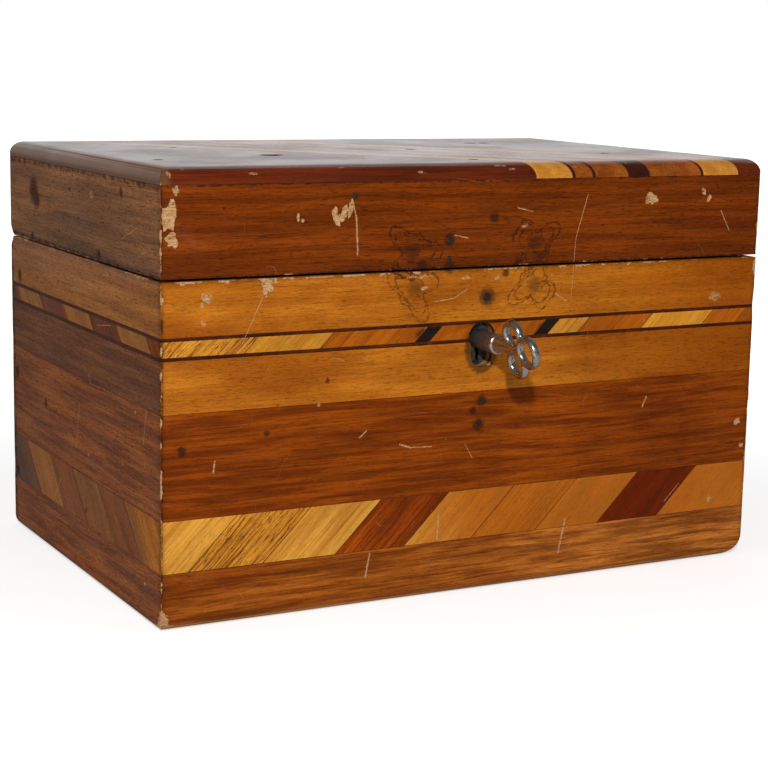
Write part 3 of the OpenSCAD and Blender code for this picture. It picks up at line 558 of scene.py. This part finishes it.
def metal(name, clean, stain, share=0.5, rough=0.3, shiny=1.0, size=1.0):
    """Old metal: its clean tone, with stained and duller patches. A lower size makes them finer."""
    material, n, shader, place = start_material(name)
    mm = n.vector("DIVIDE", place, (size * MM,) * 3)
    patch = n.noise(mm, 0.35, 5, 0.65)
    speck = n.noise(mm, 2.4, 3, 0.6)
    stained = n.between(n.plus(patch, n.times(speck, 0.3)), 0.8 - share * 0.4, 0.98 - share * 0.4)
    colour = n.mix(stained, tone(clean), tone(stain))
    n.feed_all(shader, {
        "Base Color": n.mix(n.times(speck, 0.25), colour, tone([c * 0.5 for c in clean])),
        "Roughness": n.between(stained, 0, 1, rough, rough + 0.3),
        "Metallic": n.between(stained, 0, 1, shiny, shiny * 0.6),
        "Normal": n.bump(speck, 0.25, 0.08)})
    return material


def pine(name, way):
    """Bare planed pine inside, browned by age."""
    return wood(name, way, (190, 140, 84), (132, 84, 40), streak=0.6, line=0.5, pore=0.15,
                breadth=5, wander=6, level=0.15, rough=0.62, wear=0, spread=0.05, age=0.4,
                pore_tone=(90, 56, 28))


HONEY = dict(light=(200, 120, 28), dark=(142, 68, 6), streak=0.5, line=0.4, pore=0.5, breadth=5,
             mottle=0.8)
RED = dict(light=(156, 72, 4), dark=(84, 28, 0), streak=0.7, line=0.55, pore=0.45, breadth=2.2,
           wander=5.0)
LID = dict(light=(136, 60, 4), dark=(72, 24, 0), streak=0.6, line=0.5, pore=0.7, breadth=4)
AMBER = dict(light=(222, 148, 48), dark=(118, 52, 4), streak=0.3, line=1.0, pore=0.9, breadth=0.8)
OLD_HONEY = dict(light=(174, 108, 42), dark=(116, 60, 16), streak=0.6, line=0.6, pore=0.7)
OLD_RED = dict(light=(164, 88, 28), dark=(88, 38, 10), streak=0.7, line=0.7, pore=0.8, breadth=3)
OLD_LID = dict(light=(162, 104, 58), dark=(88, 54, 28), streak=0.6, line=0.6, pore=0.8)
FRONT = dict(marks="front", flame=(150, 62, 0))
END = dict(marks="left", level=0.11, rough=0.5, age=0.9, spread=2.0, mottle=1.9)
TOP = dict(marks="top", level=0.5, rough=0.34, coat=0.25)

# A tone given for the right of a front band or block is partly painted shading from the lamp's fall
# across the front
MATERIALS = {
    "front_rim": wood(
        "honey rim", along_sides, **HONEY, **FRONT, wear=1.7, right_tone_and_shading=(170, 88, 6), turns=(10, 110)),
    "front_middle": wood(
        "honey band", along_sides, **HONEY, **FRONT, right_tone_and_shading=(164, 84, 4), turns=(0, 100)),
    "front_dark": wood("red-brown band", along_sides, **RED, **FRONT),
    "front_base": wood(
        "red-brown foot", along_sides, **{**RED, "light": (176, 96, 26)}, **FRONT,
        right_tone_and_shading=(214, 128, 48), turns=(-40, 60)),
    "front_lid": wood("lid mahogany", along_sides, **LID, **FRONT),
    "end_rim": wood("honey rim, ends", along_ends, **OLD_HONEY, **END),
    "end_middle": wood(
        "brown band, ends", along_ends, **{**OLD_RED, "light": (134, 78, 36)}, **END),
    "end_dark": wood("red-brown band, ends", along_ends, **OLD_RED, **END),
    "end_lid": wood("lid mahogany, ends", along_ends, **OLD_LID, **END),
    "long_light_blocks": wood(
        "pale blocks", long_blocks, (224, 160, 62), (176, 102, 24), 0.6, 0.6, 0.3, breadth=2.5,
        vary=-0.16, marks="front", right_tone_and_shading=(196, 106, 26)),
    "long_striped_blocks": wood(
        "striped blocks", long_blocks, **AMBER, vary=0.1, marks="front", right_tone_and_shading=(190, 104, 22),
        calm=True),
    "long_dark_blocks": wood(
        "dark red blocks", long_blocks, (172, 76, 10), (92, 30, 0), 0.8, 0.7, 0.6, vary=0.1,
        marks="front", right_tone_and_shading=(112, 34, 0)),
    "end_light_blocks": wood(
        "pale blocks, ends", end_blocks, (168, 104, 42), (124, 68, 24), 0.5, 0.5, 0.4, vary=0.3,
        **END),
    "end_dark_blocks": wood(
        "brown blocks, ends", end_blocks, (140, 78, 30), (96, 46, 14), 0.6, 0.5, 0.4, vary=0.3,
        **END),
    "long_light_slips": wood(
        "pale slips", long_slips, (216, 146, 44), (176, 104, 22), 0.5, 0.5, 0.3, vary=0.2,
        marks="front"),
    "long_orange_slips": wood(
        "orange slips", long_slips, (186, 98, 14), (144, 64, 4), 0.5, 0.5, 0.3, vary=0.2,
        marks="front"),
    "long_striped_slips": wood(
        "striped slips", long_slips, **AMBER, vary=0.1, marks="front", calm=True),
    "end_light_slips": wood(
        "pale slips, ends", end_slips, (168, 106, 42), (124, 70, 22), 0.5, 0.5, 0.4, vary=0.2,
        **END),
    "end_dark_slips": wood(
        "dark slips, ends", end_slips, (122, 60, 22), (76, 32, 10), 0.5, 0.5, 0.4, vary=0.3,
        **END),
    "stringing_lines": wood(
        "dark stringing", along_sides, (92, 38, 6), (40, 15, 4), 0.8, 0.8, 0.5, breadth=0.8,
        age=1.0, mottle=1.4, marks="front"),
    "black_lozenges": wood(
        "black lozenges", along_sides, (44, 30, 20), (16, 12, 10), 0.6, 0.6, 0.3, breadth=1.0,
        marks="front"),
    "top_field": wood("lid top", along_sides, (112, 40, 8), (58, 16, 2), 0.6, 0.5, 0.4, **TOP),
    "top_light": wood(
        "pale strips, top", along_strips, (216, 146, 52), (170, 94, 20), 0.5, 0.5, 0.3, vary=0.2,
        **TOP),
    "top_orange": wood(
        "orange strips, top", along_strips, (176, 92, 22), (112, 46, 6), 0.6, 0.6, 0.4, vary=0.4,
        **TOP),
    "top_dark": wood(
        "dark strips, top", along_strips, (70, 26, 10), (36, 13, 7), 0.5, 0.4, 0.2, **TOP),
    "pine_sides": pine("old pine", along_sides),
    "pine_ends": pine("old pine, ends", along_ends),
    "brass": metal("aged brass", (176, 142, 76), (92, 66, 34), 0.7, 0.38),
    "iron": metal("grey-green iron", (96, 102, 96), (52, 48, 42), 0.7, 0.5, 0.8),
    "rust": metal("rusted iron", (74, 62, 56), (38, 24, 16), 0.8, 0.55, 0.5, 0.4),
    "spring": metal("spring steel", (150, 150, 150), (90, 84, 78), 0.4, 0.35),
    "steel": metal("key steel", (190, 186, 178), (112, 100, 86), 0.4, 0.22, 1.0, 0.6),
    "shank": metal("dull key shank", (120, 110, 98), (78, 66, 54), 0.6, 0.42, 0.8, 0.9),
}
MATERIALS["end_base"] = MATERIALS["end_dark"]
BROKEN, DIRT = broken_wood(), joint_dirt()

# Which material each wooden node takes. The back is made like the front, and the ends are alike
SIDES = {"front": "front", "back": "front", "left": "end", "right": "end"}
WOODEN = {f"{side}_{band}_band": f"{kind}_{band}"
          for band in ("rim", "middle", "dark", "base") for side, kind in SIDES.items()}
WOODEN |= {node: node for node in MATERIALS
           if node.endswith(("_blocks", "_slips", "_lines", "_lozenges"))}
WOODEN |= {f"lid_{side}_rail": kind + "_lid" for side, kind in SIDES.items()}
WOODEN |= {"top_left_field": "top_field", "top_right_field": "top_field",
           "top_light_strips": "top_light", "top_orange_strips": "top_orange",
           "top_dark_strips": "top_dark"}
METAL_PLATES = {"hinge_case_leaves": "brass", "hinge_lid_leaves": "brass", "lock_plate": "iron",
                "lock_cap": "iron", "link_plate": "iron", "lock_bolt": "brass"}
# CAD nodes that are shown as they are
PAINTED = {"pine_sides": ["bottom_board", "front_board", "back_board"],
           "pine_ends": ["left_board", "right_board"],
           "brass": ["hinge_pins"],
           "spring": ["bolt_spring", "drill_pin"]}
BODY_OF = {node: body for body, nodes in frame["record"]["behaviour"]["bodies"].items()
           for node in nodes}


def new_object(name, data):
    obj = bpy.data.objects.new(name, data)
    bpy.context.scene.collection.objects.link(obj)
    return obj


def merged_copy(node):
    """A node's mesh with its corners joined and its flat faces whole."""
    mesh = frame["nodes"][node].data.copy()
    bm = bmesh.new()
    bm.from_mesh(mesh)
    bmesh.ops.remove_doubles(bm, verts=bm.verts, dist=1e-6)
    bmesh.ops.dissolve_limit(bm, angle_limit=math.radians(0.5), verts=bm.verts, edges=bm.edges)
    bm.to_mesh(mesh)
    bm.free()
    mesh.materials.clear()
    return mesh


def finished_mesh(obj, name):
    """The mesh that an object's modifiers give, as a plain mesh of its own."""
    graph = bpy.context.evaluated_depsgraph_get()
    mesh = bpy.data.meshes.new_from_object(obj.evaluated_get(graph), depsgraph=graph)
    mesh.name = name
    bpy.data.objects.remove(obj)
    return mesh


def place_piece(name, mesh, node, sharp=25):
    """Shows a finished mesh in place of its node."""
    mesh.shade_smooth()
    mesh.set_sharp_from_angle(angle=math.radians(sharp))
    piece = new_object(name, mesh)
    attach(piece, BODY_OF[node])
    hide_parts(node)


# Wear that goes into the shapes: the step along a worn edge, how far its cutter stands clear of the
# wood, and how much the front left corner is rounded at its foot, fading out up to a height
X, Y, Z = Vector((1, 0, 0)), Vector((0, 1, 0)), Vector((0, 0, 1))
WEAR_STEP = 1.1 * MM
CLEAR = 1.2 * MM
ROUND_FOOT = 4.2 * MM
ROUND_HEIGHT = 9 * MM


def near_box(point, box, spare):
    """Whether a point lies in a box, or outside it by no more than the spare."""
    return all(box[0][k] - spare <= point[k] <= box[1][k] + spare for k in range(3))


def worn_edge(bm, box, start, end, out_a, out_b, radius, dents, seed):
    """Adds the sliver that wear has taken off an edge, as far as a piece's box reaches: a strip
    with an inner side that is rounded unevenly, and an outer side that is clear of the wood."""
    run = end - start
    count = max(2, round(run.length / WEAR_STEP))
    turns = [math.radians(a) for a in (0, 22.5, 45, 67.5, 90)]
    rings = []
    for i in range(count + 1):
        point = start + run * i / count
        if not near_box(point, box, 1.4 * MM):
            continue
        wobble = noise.noise(point * 260 + Vector((seed, 0, 0)))
        dent = max(0, noise.noise(point * 70 + Vector((0, seed, 3))) - 0.24)
        r = radius * (1 + 0.35 * wobble) + dents * dent
        if out_a == -X and out_b == -Y:
            # The front left corner is rounded off towards the foot
            r += ROUND_FOOT * max(0, 1 - point.z / ROUND_HEIGHT) ** 1.5
        centre = point - r * (out_a + out_b)
        reach = r * 1.02
        ring = [centre + reach * (math.cos(t) * out_a + math.sin(t) * out_b) for t in turns]
        ring += [point - out_a * r + out_b * CLEAR, point + out_a * CLEAR + out_b * CLEAR,
                 point + out_a * CLEAR - out_b * r]
        rings.append([bm.verts.new(p) for p in ring])
    if len(rings) < 2:
        return
    size = len(rings[0])
    for near, far in zip(rings, rings[1:]):
        for k in range(size):
            bm.faces.new((near[k], near[(k + 1) % size], far[(k + 1) % size], far[k]))
    bm.faces.new(rings[0])
    bm.faces.new(rings[-1][::-1])


def chip(bm, centre, out, along, size, seed):
    """Adds a ragged shallow lens that breaks a chip out of a face and leaves it bare."""
    turn = Matrix((along, out.cross(along), out)).transposed()
    made = bmesh.ops.create_icosphere(bm, subdivisions=3, radius=1)["verts"]
    for v in made:
        ragged = 1 + 0.5 * noise.noise(v.co * 1.7 + Vector((seed, 0, 0)))
        ragged += 0.3 * noise.noise(v.co * 5 + Vector((0, seed, 0)))
        flat = Vector([v.co[k] * size[k] for k in range(3)]) * MM * ragged
        v.co = centre + turn @ flat
    for face in {f for v in made for f in v.link_faces}:
        face.material_index = 1


def on_front(u, v):
    """A point of the front face, in millimetres from its left edge and its foot."""
    return Vector((u * MM - half_w, front_y, v * MM))


# Chips of the front: place from the left edge and the foot, half width, half height, depth, turn
CASE_CHIPS = [
    (36.6, 110.6, 3.2, 1.2, 0.4, 0), (35.8, 108.6, 1.8, 1.7, 0.35, 0),
    (34.8, 106.8, 0.8, 1.6, 0.3, 20), (15.2, 105.6, 1.9, 1.5, 0.35, -20),
    (13.6, 103.6, 0.9, 0.7, 0.3, 0), (54, 111, 6, 0.5, 0.35, 0), (66, 110.9, 4, 0.7, 0.35, 0),
    (9, 110.9, 4.5, 0.6, 0.35, 0), (116.6, 74.6, 1.6, 0.8, 0.7, 0), (224, 51, 1.5, 1.1, 0.35, 30),
    (226.5, 42, 1.1, 0.8, 0.35, 0), (213, 23, 0.8, 1.2, 0.3, 0), (92, 105.6, 1.6, 0.6, 0.25, 10),
    (133.4, 101.4, 1.8, 0.6, 0.25, 10), (228.4, 60, 1, 2.2, 0.3, 0)]
LID_CHIPS = [
    (3.2, 131.5, 2.6, 4.2, 0.5, -12), (3.6, 124, 1.8, 2.4, 0.4, 10), (5, 139, 1, 1.6, 0.3, 0),
    (59.4, 129.6, 1.2, 3.3, 0.4, 14), (62, 130.6, 1.4, 2.5, 0.4, -20),
    (64.4, 132.2, 0.8, 2.8, 0.35, -8), (181.6, 132.8, 2.6, 1.9, 0.4, 0),
    (204, 135, 0.9, 1.6, 0.35, 20), (206.4, 132.6, 0.7, 1.4, 0.3, -30),
    (46, 130, 0.5, 1.4, 0.25, 0), (47.6, 128.8, 0.6, 0.6, 0.25, 0), (20, 119.4, 1.2, 0.9, 0.25, 0)]


def corners(low, high, radii, dents):
    """The four upright edges of a body, front left first, as worn edges."""
    edges = []
    for (sx, sy), radius in zip(((-1, -1), (1, -1), (-1, 1), (1, 1)), radii):
        foot = Vector((sx * half_w, sy * half_d, 0))
        edges.append((foot + Z * low, foot + Z * high, X * sx, Y * sy, radius * MM, dents * MM,
                      11 * sx + 5 * sy))
    return edges


def rims(z, out, radius, dents):
    """The four level edges of a body next to the seam, as worn edges."""
    edges = []
    for side in (-1, 1):
        for along, across, length, off, seed in ((X, Y, half_w, half_d, 3),
                                                 (Y, X, half_d, half_w, 6)):
            middle = Z * z + across * side * off
            reach = along * (length + MM)
            edges.append((middle - reach, middle + reach, across * side, out, radius * MM,
                          dents * MM, seed + side))
    return edges


WORN_EDGES = {
    "case": corners(-2 * MM, seam_z + MM, (0.55, 0.4, 0.35, 0.35), 1.5)
    + rims(rim_high.z, Z, 0.22, 1.2),
    "lid": corners(seam_z - MM, field_low + MM, (0.75, 0.45, 0.35, 0.35), 1.6)
    + rims(lid_low, -Z, 0.2, 0.8)}
CHIPS = {"case": CASE_CHIPS, "lid": LID_CHIPS}


def cutter_for(node):
    """One object of all that wear takes off a node's piece, or None."""
    body, box = BODY_OF[node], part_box(node)
    mesh = bpy.data.meshes.new("wear")
    bm = bmesh.new()
    for edge in WORN_EDGES[body]:
        worn_edge(bm, box, *edge)
    for i, (u, v, wide, high, deep, turn) in enumerate(CHIPS[body]):
        if near_box(on_front(u, v), box, max(wide, high) * 1.5 * MM):
            lean = math.radians(turn)
            along = X * math.cos(lean) + Z * math.sin(lean)
            chip(bm, on_front(u, v), -Y, along, (wide, high, deep), 7.3 * i)
    used = len(bm.faces) > 0
    bmesh.ops.recalc_face_normals(bm, faces=bm.faces)
    bm.to_mesh(mesh)
    bm.free()
    mesh.materials.append(None)
    mesh.materials.append(BROKEN)
    return new_object("wear", mesh) if used else None


def eased(node, width, segments, *materials):
    """A work object of a node's mesh with its edges bevelled, and the bevel."""
    mesh = merged_copy(node)
    for material in materials:
        mesh.materials.append(material)
    obj = new_object(node + "_work", mesh)
    bevel = obj.modifiers.new("soften", "BEVEL")
    bevel.width = width * MM
    bevel.segments = segments
    bevel.limit_method = "ANGLE"
    bevel.angle_limit = math.radians(50)
    return obj, bevel


def worn_wood(node, material):
    """A wooden piece with softened joints and its share of the wear."""
    obj, bevel = eased(node, 0.11, 1, material, DIRT)
    bevel.material = 1
    cutter = cutter_for(node)
    if cutter:
        wear = obj.modifiers.new("wear", "BOOLEAN")
        wear.operation = "DIFFERENCE"
        wear.solver = "EXACT"
        wear.use_self = True
        wear.material_mode = "TRANSFER"
        wear.object = cutter
    mesh = finished_mesh(obj, "worn_" + node)
    if cutter:
        bpy.data.objects.remove(cutter)
    place_piece("worn_" + node, mesh, node)


def softened_metal(node, material):
    """A metal plate with its edges eased."""
    obj, _ = eased(node, 0.12, 2, material)
    place_piece("eased_" + node, finished_mesh(obj, "eased_" + node), node)


for node, label in WOODEN.items():
    worn_wood(node, MATERIALS[label])
for node, label in METAL_PLATES.items():
    softened_metal(node, MATERIALS[label])
for label, nodes in PAINTED.items():
    for node in nodes:
        for slot in frame["nodes"][node].material_slots:
            slot.material = MATERIALS[label]


# Screws and broken nails, one geometry tree for each kind
def loose_boxes(node):
    """The box of each loose piece of a node, as its lowest and highest corner."""
    bm = bmesh.new()
    bm.from_mesh(frame["nodes"][node].data)
    bmesh.ops.remove_doubles(bm, verts=bm.verts, dist=1e-6)
    left, boxes = set(bm.verts), []
    while left:
        found, edge = set(), {left.pop()}
        while edge:
            found |= edge
            edge = {e.other_vert(v) for v in edge for e in v.link_edges} - found
        left -= found
        places = [v.co for v in found]
        boxes.append((Vector([min(p[k] for p in places) for k in range(3)]),
                      Vector([max(p[k] for p in places) for k in range(3)])))
    bm.free()
    return sorted(boxes, key=lambda box: tuple(box[0]))


def repeat_tree(name, sizes, make_item):
    """A geometry tree that sets one item on each point of its mesh, turned by a random angle."""
    tree = bpy.data.node_groups.new(name, "GeometryNodeTree")
    kinds = {"Geometry": "NodeSocketGeometry", "Finish": "NodeSocketMaterial",
             "Facing": "NodeSocketVector", "Seed": "NodeSocketInt"}
    for label, kind in kinds.items():
        tree.interface.new_socket(label, in_out="INPUT", socket_type=kind)
    for label, value in sizes.items():
        socket = tree.interface.new_socket(label, in_out="INPUT", socket_type="NodeSocketFloat")
        socket.default_value = value
    tree.interface.new_socket("Geometry", in_out="OUTPUT", socket_type="NodeSocketGeometry")
    n = Nodes(tree)
    given = n.add("NodeGroupInput").outputs
    across = n.add("GeometryNodeInputNamedAttribute", {"Name": "across"},
                   data_type="FLOAT").outputs[0]
    placed = n.add("GeometryNodeInstanceOnPoints",
                   {"Points": given["Geometry"], "Instance": make_item(n, given),
                    "Rotation": given["Facing"], "Scale": n.join(across, across, 1)})
    spin = n.add("FunctionNodeRandomValue", {2: 0, 3: math.tau, "Seed": given["Seed"]},
                 data_type="FLOAT").outputs[1]
    turned = n.add("GeometryNodeRotateInstances",
                   {"Instances": placed.outputs[0], "Rotation": n.join(0, 0, spin)})
    whole = n.add("GeometryNodeRealizeInstances", {0: turned.outputs[0]})
    done = n.add("GeometryNodeSetMaterial",
                 {"Geometry": whole.outputs[0], "Material": given["Finish"]})
    n.add("NodeGroupOutput", {0: done.outputs[0]})
    return tree


def moved(n, mesh, offset, scale=(1, 1, 1)):
    """A mesh scaled about its own middle and then set at an offset."""
    return n.add("GeometryNodeTransform",
                 {"Geometry": mesh, "Translation": offset, "Scale": scale}).outputs[0]


def screw_item(n, given):
    """A slotted countersunk screw of unit head radius, its head's face at the origin."""
    shank, length, rise = given["Shank"], given["Length"], given["Head depth"]
    cones = []
    for count, top, bottom, depth in ((32, 1.0, shank, rise),
                                      (24, shank, n.times(shank, 0.3), length)):
        cone = n.add("GeometryNodeMeshCone", {"Vertices": count, "Radius Top": top,
                                              "Radius Bottom": bottom, "Depth": depth}).outputs[0]
        cones.append(moved(n, cone, n.join(0, 0, n.times(depth, -1))))
    bar = n.add("GeometryNodeMeshCube", {"Size": n.join(3, given["Slot"], rise)}).outputs[0]
    solid = n.add("GeometryNodeMeshBoolean", operation="UNION", solver="EXACT")
    for cone in cones:
        n.feed(solid.inputs["Mesh 2"], cone)
    cut = n.add("GeometryNodeMeshBoolean", {"Mesh 1": solid.outputs[0], "Mesh 2": bar},
                operation="DIFFERENCE", solver="EXACT")
    return cut.outputs[0]


def nail_item(n, given):
    """A broken nail of unit radius: a shank with a low mushroomed and pitted end."""
    length = given["Length"]
    shank = n.add("GeometryNodeMeshCylinder", {"Vertices": 20, "Radius": 1.0,
                                               "Depth": length}).outputs[0]
    shank = moved(n, shank, n.join(0, 0, n.times(length, -0.5)))
    dome = n.add("GeometryNodeMeshUVSphere",
                 {"Segments": 24, "Rings": 14, "Radius": 1.0}).outputs[0]
    dome = moved(n, dome, (0, 0, 0), n.join(1.35, 1.35, given["Proud"]))
    both = n.add("GeometryNodeJoinGeometry")
    for part in (shank, dome):
        n.feed(both.inputs[0], part)
    place = n.add("GeometryNodeInputPosition").outputs[0]
    uneven = n.vector("MULTIPLY", n.shake(place, 1.4, 3),
                      n.join(0.5, 0.5, n.times(given["Proud"], 0.8)))
    return n.add("GeometryNodeSetPosition", {"Geometry": both.outputs[0],
                                             "Offset": uneven}).outputs[0]


def set_items(name, node, tree, facing, finish):
    """Builds a node's screws or nails on its own places. Facing is the way their heads look."""
    axis = max(range(3), key=lambda k: abs(facing[k]))
    wide = (axis + 1) % 3
    boxes = loose_boxes(node)
    mesh = bpy.data.meshes.new(name)
    points = []
    for low, high in boxes:
        middle = (low + high) / 2
        middle[axis] = high[axis] if facing[axis] > 0 else low[axis]
        points.append(middle)
    mesh.from_pydata(points, [], [])
    across = mesh.attributes.new("across", "FLOAT", "POINT")
    across.data.foreach_set("value", [(high[wide] - low[wide]) / 2 for low, high in boxes])
    obj = new_object(name, mesh)
    growth = obj.modifiers.new("items", "NODES")
    growth.node_group = tree
    values = {"Finish": finish, "Seed": 4, "Length": boxes[0][1][axis] - boxes[0][0][axis],
              "Facing": tuple(facing.to_track_quat("Z", "Y").to_euler())}
    for item in tree.interface.items_tree:
        if item.in_out == "INPUT" and item.name in values:
            growth[item.identifier] = values[item.name]
    place_piece(name, finished_mesh(obj, name), node, 30)


SCREWS = repeat_tree("screw set", {"Shank": 0.5, "Head depth": 0.8 * MM, "Slot": 0.3,
                                   "Length": 7 * MM}, screw_item)
NAILS = repeat_tree("broken nails", {"Proud": 0.35 * MM, "Length": 3 * MM}, nail_item)
for name, node, tree, facing, label in (
        ("case_side_hinge_screws", "hinge_case_screws", SCREWS, Z, "brass"),
        ("lid_side_hinge_screws", "hinge_lid_screws", SCREWS, -Z, "brass"),
        ("lock_plate_screws", "lock_screws", SCREWS, Y, "iron"),
        ("link_plate_screws", "link_screws", SCREWS, -Z, "iron"),
        ("broken_case_nails", "case_nails", NAILS, -Y, "rust"),
        ("broken_lid_nails", "lid_nails", NAILS, -Y, "rust")):
    set_items(name, node, tree, facing, MATERIALS[label])


# The key, in millimetres. Its shank is a list of places out from the front face with the radius
# there, and behind the face it is dull
TIP = (front_y - key_high.y) / MM
BORE_R = pin_high.x / MM + 0.2
BORE = [(-2, 0), (-2.6, BORE_R), (TIP + 0.2, BORE_R), (TIP, BORE_R + 0.2)]
SHANK = [(TIP, 2.75), (TIP + 0.2, 2.9), (0.05, 2.9), (0.3, 3.3), (7.2, 3.35), (7.4, 3.15),
         (7.7, 3.15), (7.9, 3.4), (8.3, 3.4), (8.5, 3.15), (8.9, 3.15), (9.2, 3.45), (10, 3.55),
         (10.6, 3.3), (10.9, 2.7), (12.4, 2.5), (15.5, 2.25), (18, 1.9), (20.6, 1.5), (21.6, 0.9),
         (21.9, 0)]
DULL_END = 9.4
BIT_SIZE = (1.5, 5.9, 4.1)
BIT_MIDDLE = (0, -5, -7.2)
BOW_TWIST = math.radians(13)
WIRE = (1.05, 1.45)
SIDE_LOOP, SIDE_OFF, SIDE_OUT = 4.2, 4.85, 21.4
END_LOOP, END_OUT = 4.65, 28.78
KEY_VOXEL = 0.17 * MM


def key_point(across, up, out):
    """A point of the key from its own axis, in millimetres."""
    return Vector((across * MM, front_y - out * MM, key_z + up * MM))


def lathe(bm, profile, sides=64):
    """A solid turned about the key's axis from places and radii along it."""
    rings = []
    for out, radius in profile:
        turns = [math.tau * k / sides for k in range(sides)] if radius else [0]
        rings.append([bm.verts.new(key_point(radius * math.cos(t), radius * math.sin(t), out))
                      for t in turns])
    for near, far in zip(rings, rings[1:]):
        for k in range(sides):
            after = k + 1
            quad = [near[k % len(near)], near[after % len(near)],
                    far[after % len(far)], far[k % len(far)]]
            bm.faces.new(list(dict.fromkeys(quad)))


def bow_loop(bm, radius, up, out, turns=72, sides=20):
    """One cast loop of the bow: an oval section swept round, in the plane turned by the twist."""
    rings = []
    for i in range(turns):
        t = math.tau * i / turns
        ring = []
        for k in range(sides):
            a = math.tau * k / sides
            far = radius + WIRE[0] * math.cos(a)
            side = WIRE[1] * math.sin(a)
            height = up + far * math.sin(t)
            turned = Vector((side * math.cos(BOW_TWIST) - height * math.sin(BOW_TWIST),
                             side * math.sin(BOW_TWIST) + height * math.cos(BOW_TWIST), 0))
            ring.append(bm.verts.new(key_point(turned.x, turned.y, out + far * math.cos(t))))
        rings.append(ring)
    for i, ring in enumerate(rings):
        after = rings[(i + 1) % turns]
        for k in range(sides):
            m = (k + 1) % sides
            bm.faces.new((ring[k], ring[m], after[m], after[k]))


def make_key():
    """The pipe key: a turned shank with its bit and a cast trefoil bow, grown together."""
    mesh = bpy.data.meshes.new("key")
    bm = bmesh.new()
    lathe(bm, BORE + SHANK)
    for vert in bmesh.ops.create_cube(bm, size=1)["verts"]:
        vert.co = key_point(*(vert.co[k] * BIT_SIZE[k] + BIT_MIDDLE[k] for k in range(3)))
    for up in (SIDE_OFF, -SIDE_OFF):
        bow_loop(bm, SIDE_LOOP, up, SIDE_OUT)
    bow_loop(bm, END_LOOP, 0, END_OUT)
    bmesh.ops.recalc_face_normals(bm, faces=bm.faces)
    bm.to_mesh(mesh)
    bm.free()
    obj = new_object("key_work", mesh)
    grown = obj.modifiers.new("grown", "REMESH")
    grown.mode = "VOXEL"
    grown.voxel_size = KEY_VOXEL
    rubbed = obj.modifiers.new("rubbed", "SMOOTH")
    rubbed.factor = 0.5
    rubbed.iterations = 3
    mesh = finished_mesh(obj, "pipe_key")
    mesh.materials.append(MATERIALS["steel"])
    mesh.materials.append(MATERIALS["shank"])
    for face in mesh.polygons:
        face.material_index = int(face.center.y > front_y - DULL_END * MM)
    return mesh


place_piece("pipe_key", make_key(), "key", 60)


def make_camera():
    """The photo's view of the box, found from its edges there."""
    camera = new_object("camera", bpy.data.cameras.new("camera"))
    camera.location = (-0.32068, -0.60414, 0.1830)
    camera.rotation_euler = [math.radians(a) for a in (79.754, -1.112, -28.068)]
    camera.data.lens = 87.53
    camera.data.sensor_width = 36
    camera.data.clip_start = 0.01
    camera.data.clip_end = 20
    bpy.context.scene.camera = camera


def make_lamp():
    """One small round lamp from the front left, high up, that gives the soft-edged shadow."""
    light = bpy.data.lights.new("key lamp", "AREA")
    light.shape = "DISK"
    light.size = 0.055
    light.energy = 5.4
    lamp = new_object("key lamp", light)
    lamp.location = (-0.42, -0.80, 0.50)
    away = lamp.location - Vector((0, 0, 0.07))
    lamp.rotation_euler = away.to_track_quat("Z", "Y").to_euler()


def make_floor():
    """A pale floor that runs out into the backdrop and keeps the box's shadow."""
    bm = bmesh.new()
    bmesh.ops.create_circle(bm, cap_ends=True, radius=6, segments=64)
    mesh = bpy.data.meshes.new("floor")
    bm.to_mesh(mesh)
    bm.free()
    floor = new_object("floor", mesh)
    material, n, shader, place = start_material("pale floor")
    rays = n.add("ShaderNodeLightPath").outputs
    x, y, _ = n.split(place)
    far = n.math("SQRT", n.plus(n.times(x, x), n.times(y, y)))
    glow = n.times(rays["Is Camera Ray"], n.between(far, 0.15, 0.5, 0.56, 1))
    n.feed_all(shader, {"Base Color": (0.8, 0.8, 0.8, 1), "Roughness": 0.9,
                        "Specular IOR Level": 0, "Emission Color": (1, 1, 1, 1),
                        "Emission Strength": glow})
    mesh.materials.append(material)


def make_world():
    """White for the camera, white at the back and dim in front for reflections, and a plain
    level for the light that falls on the box."""
    world = bpy.data.worlds.new("studio")
    world.use_nodes = True
    bpy.context.scene.world = world
    n = Nodes(world.node_tree)
    rays = n.add("ShaderNodeLightPath").outputs
    way = n.add("ShaderNodeTexCoord").outputs["Generated"]
    behind = n.between(n.vector("DOT_PRODUCT", way, (0.47, 0.88, 0)), 0.35, 0.8, 0.12, 1)
    seen = n.times(n.plus(rays["Is Glossy Ray"], rays["Is Transmission Ray"]), behind)
    fill = n.times(rays["Is Diffuse Ray"], 0.3)
    level = n.plus(n.plus(rays["Is Camera Ray"], seen), fill)
    n.feed_all(world.node_tree.nodes["Background"], {"Color": (1, 1, 1, 1), "Strength": level})


make_camera()
make_lamp()
make_floor()
make_world()
bpy.context.scene.view_settings.view_transform = "Standard"
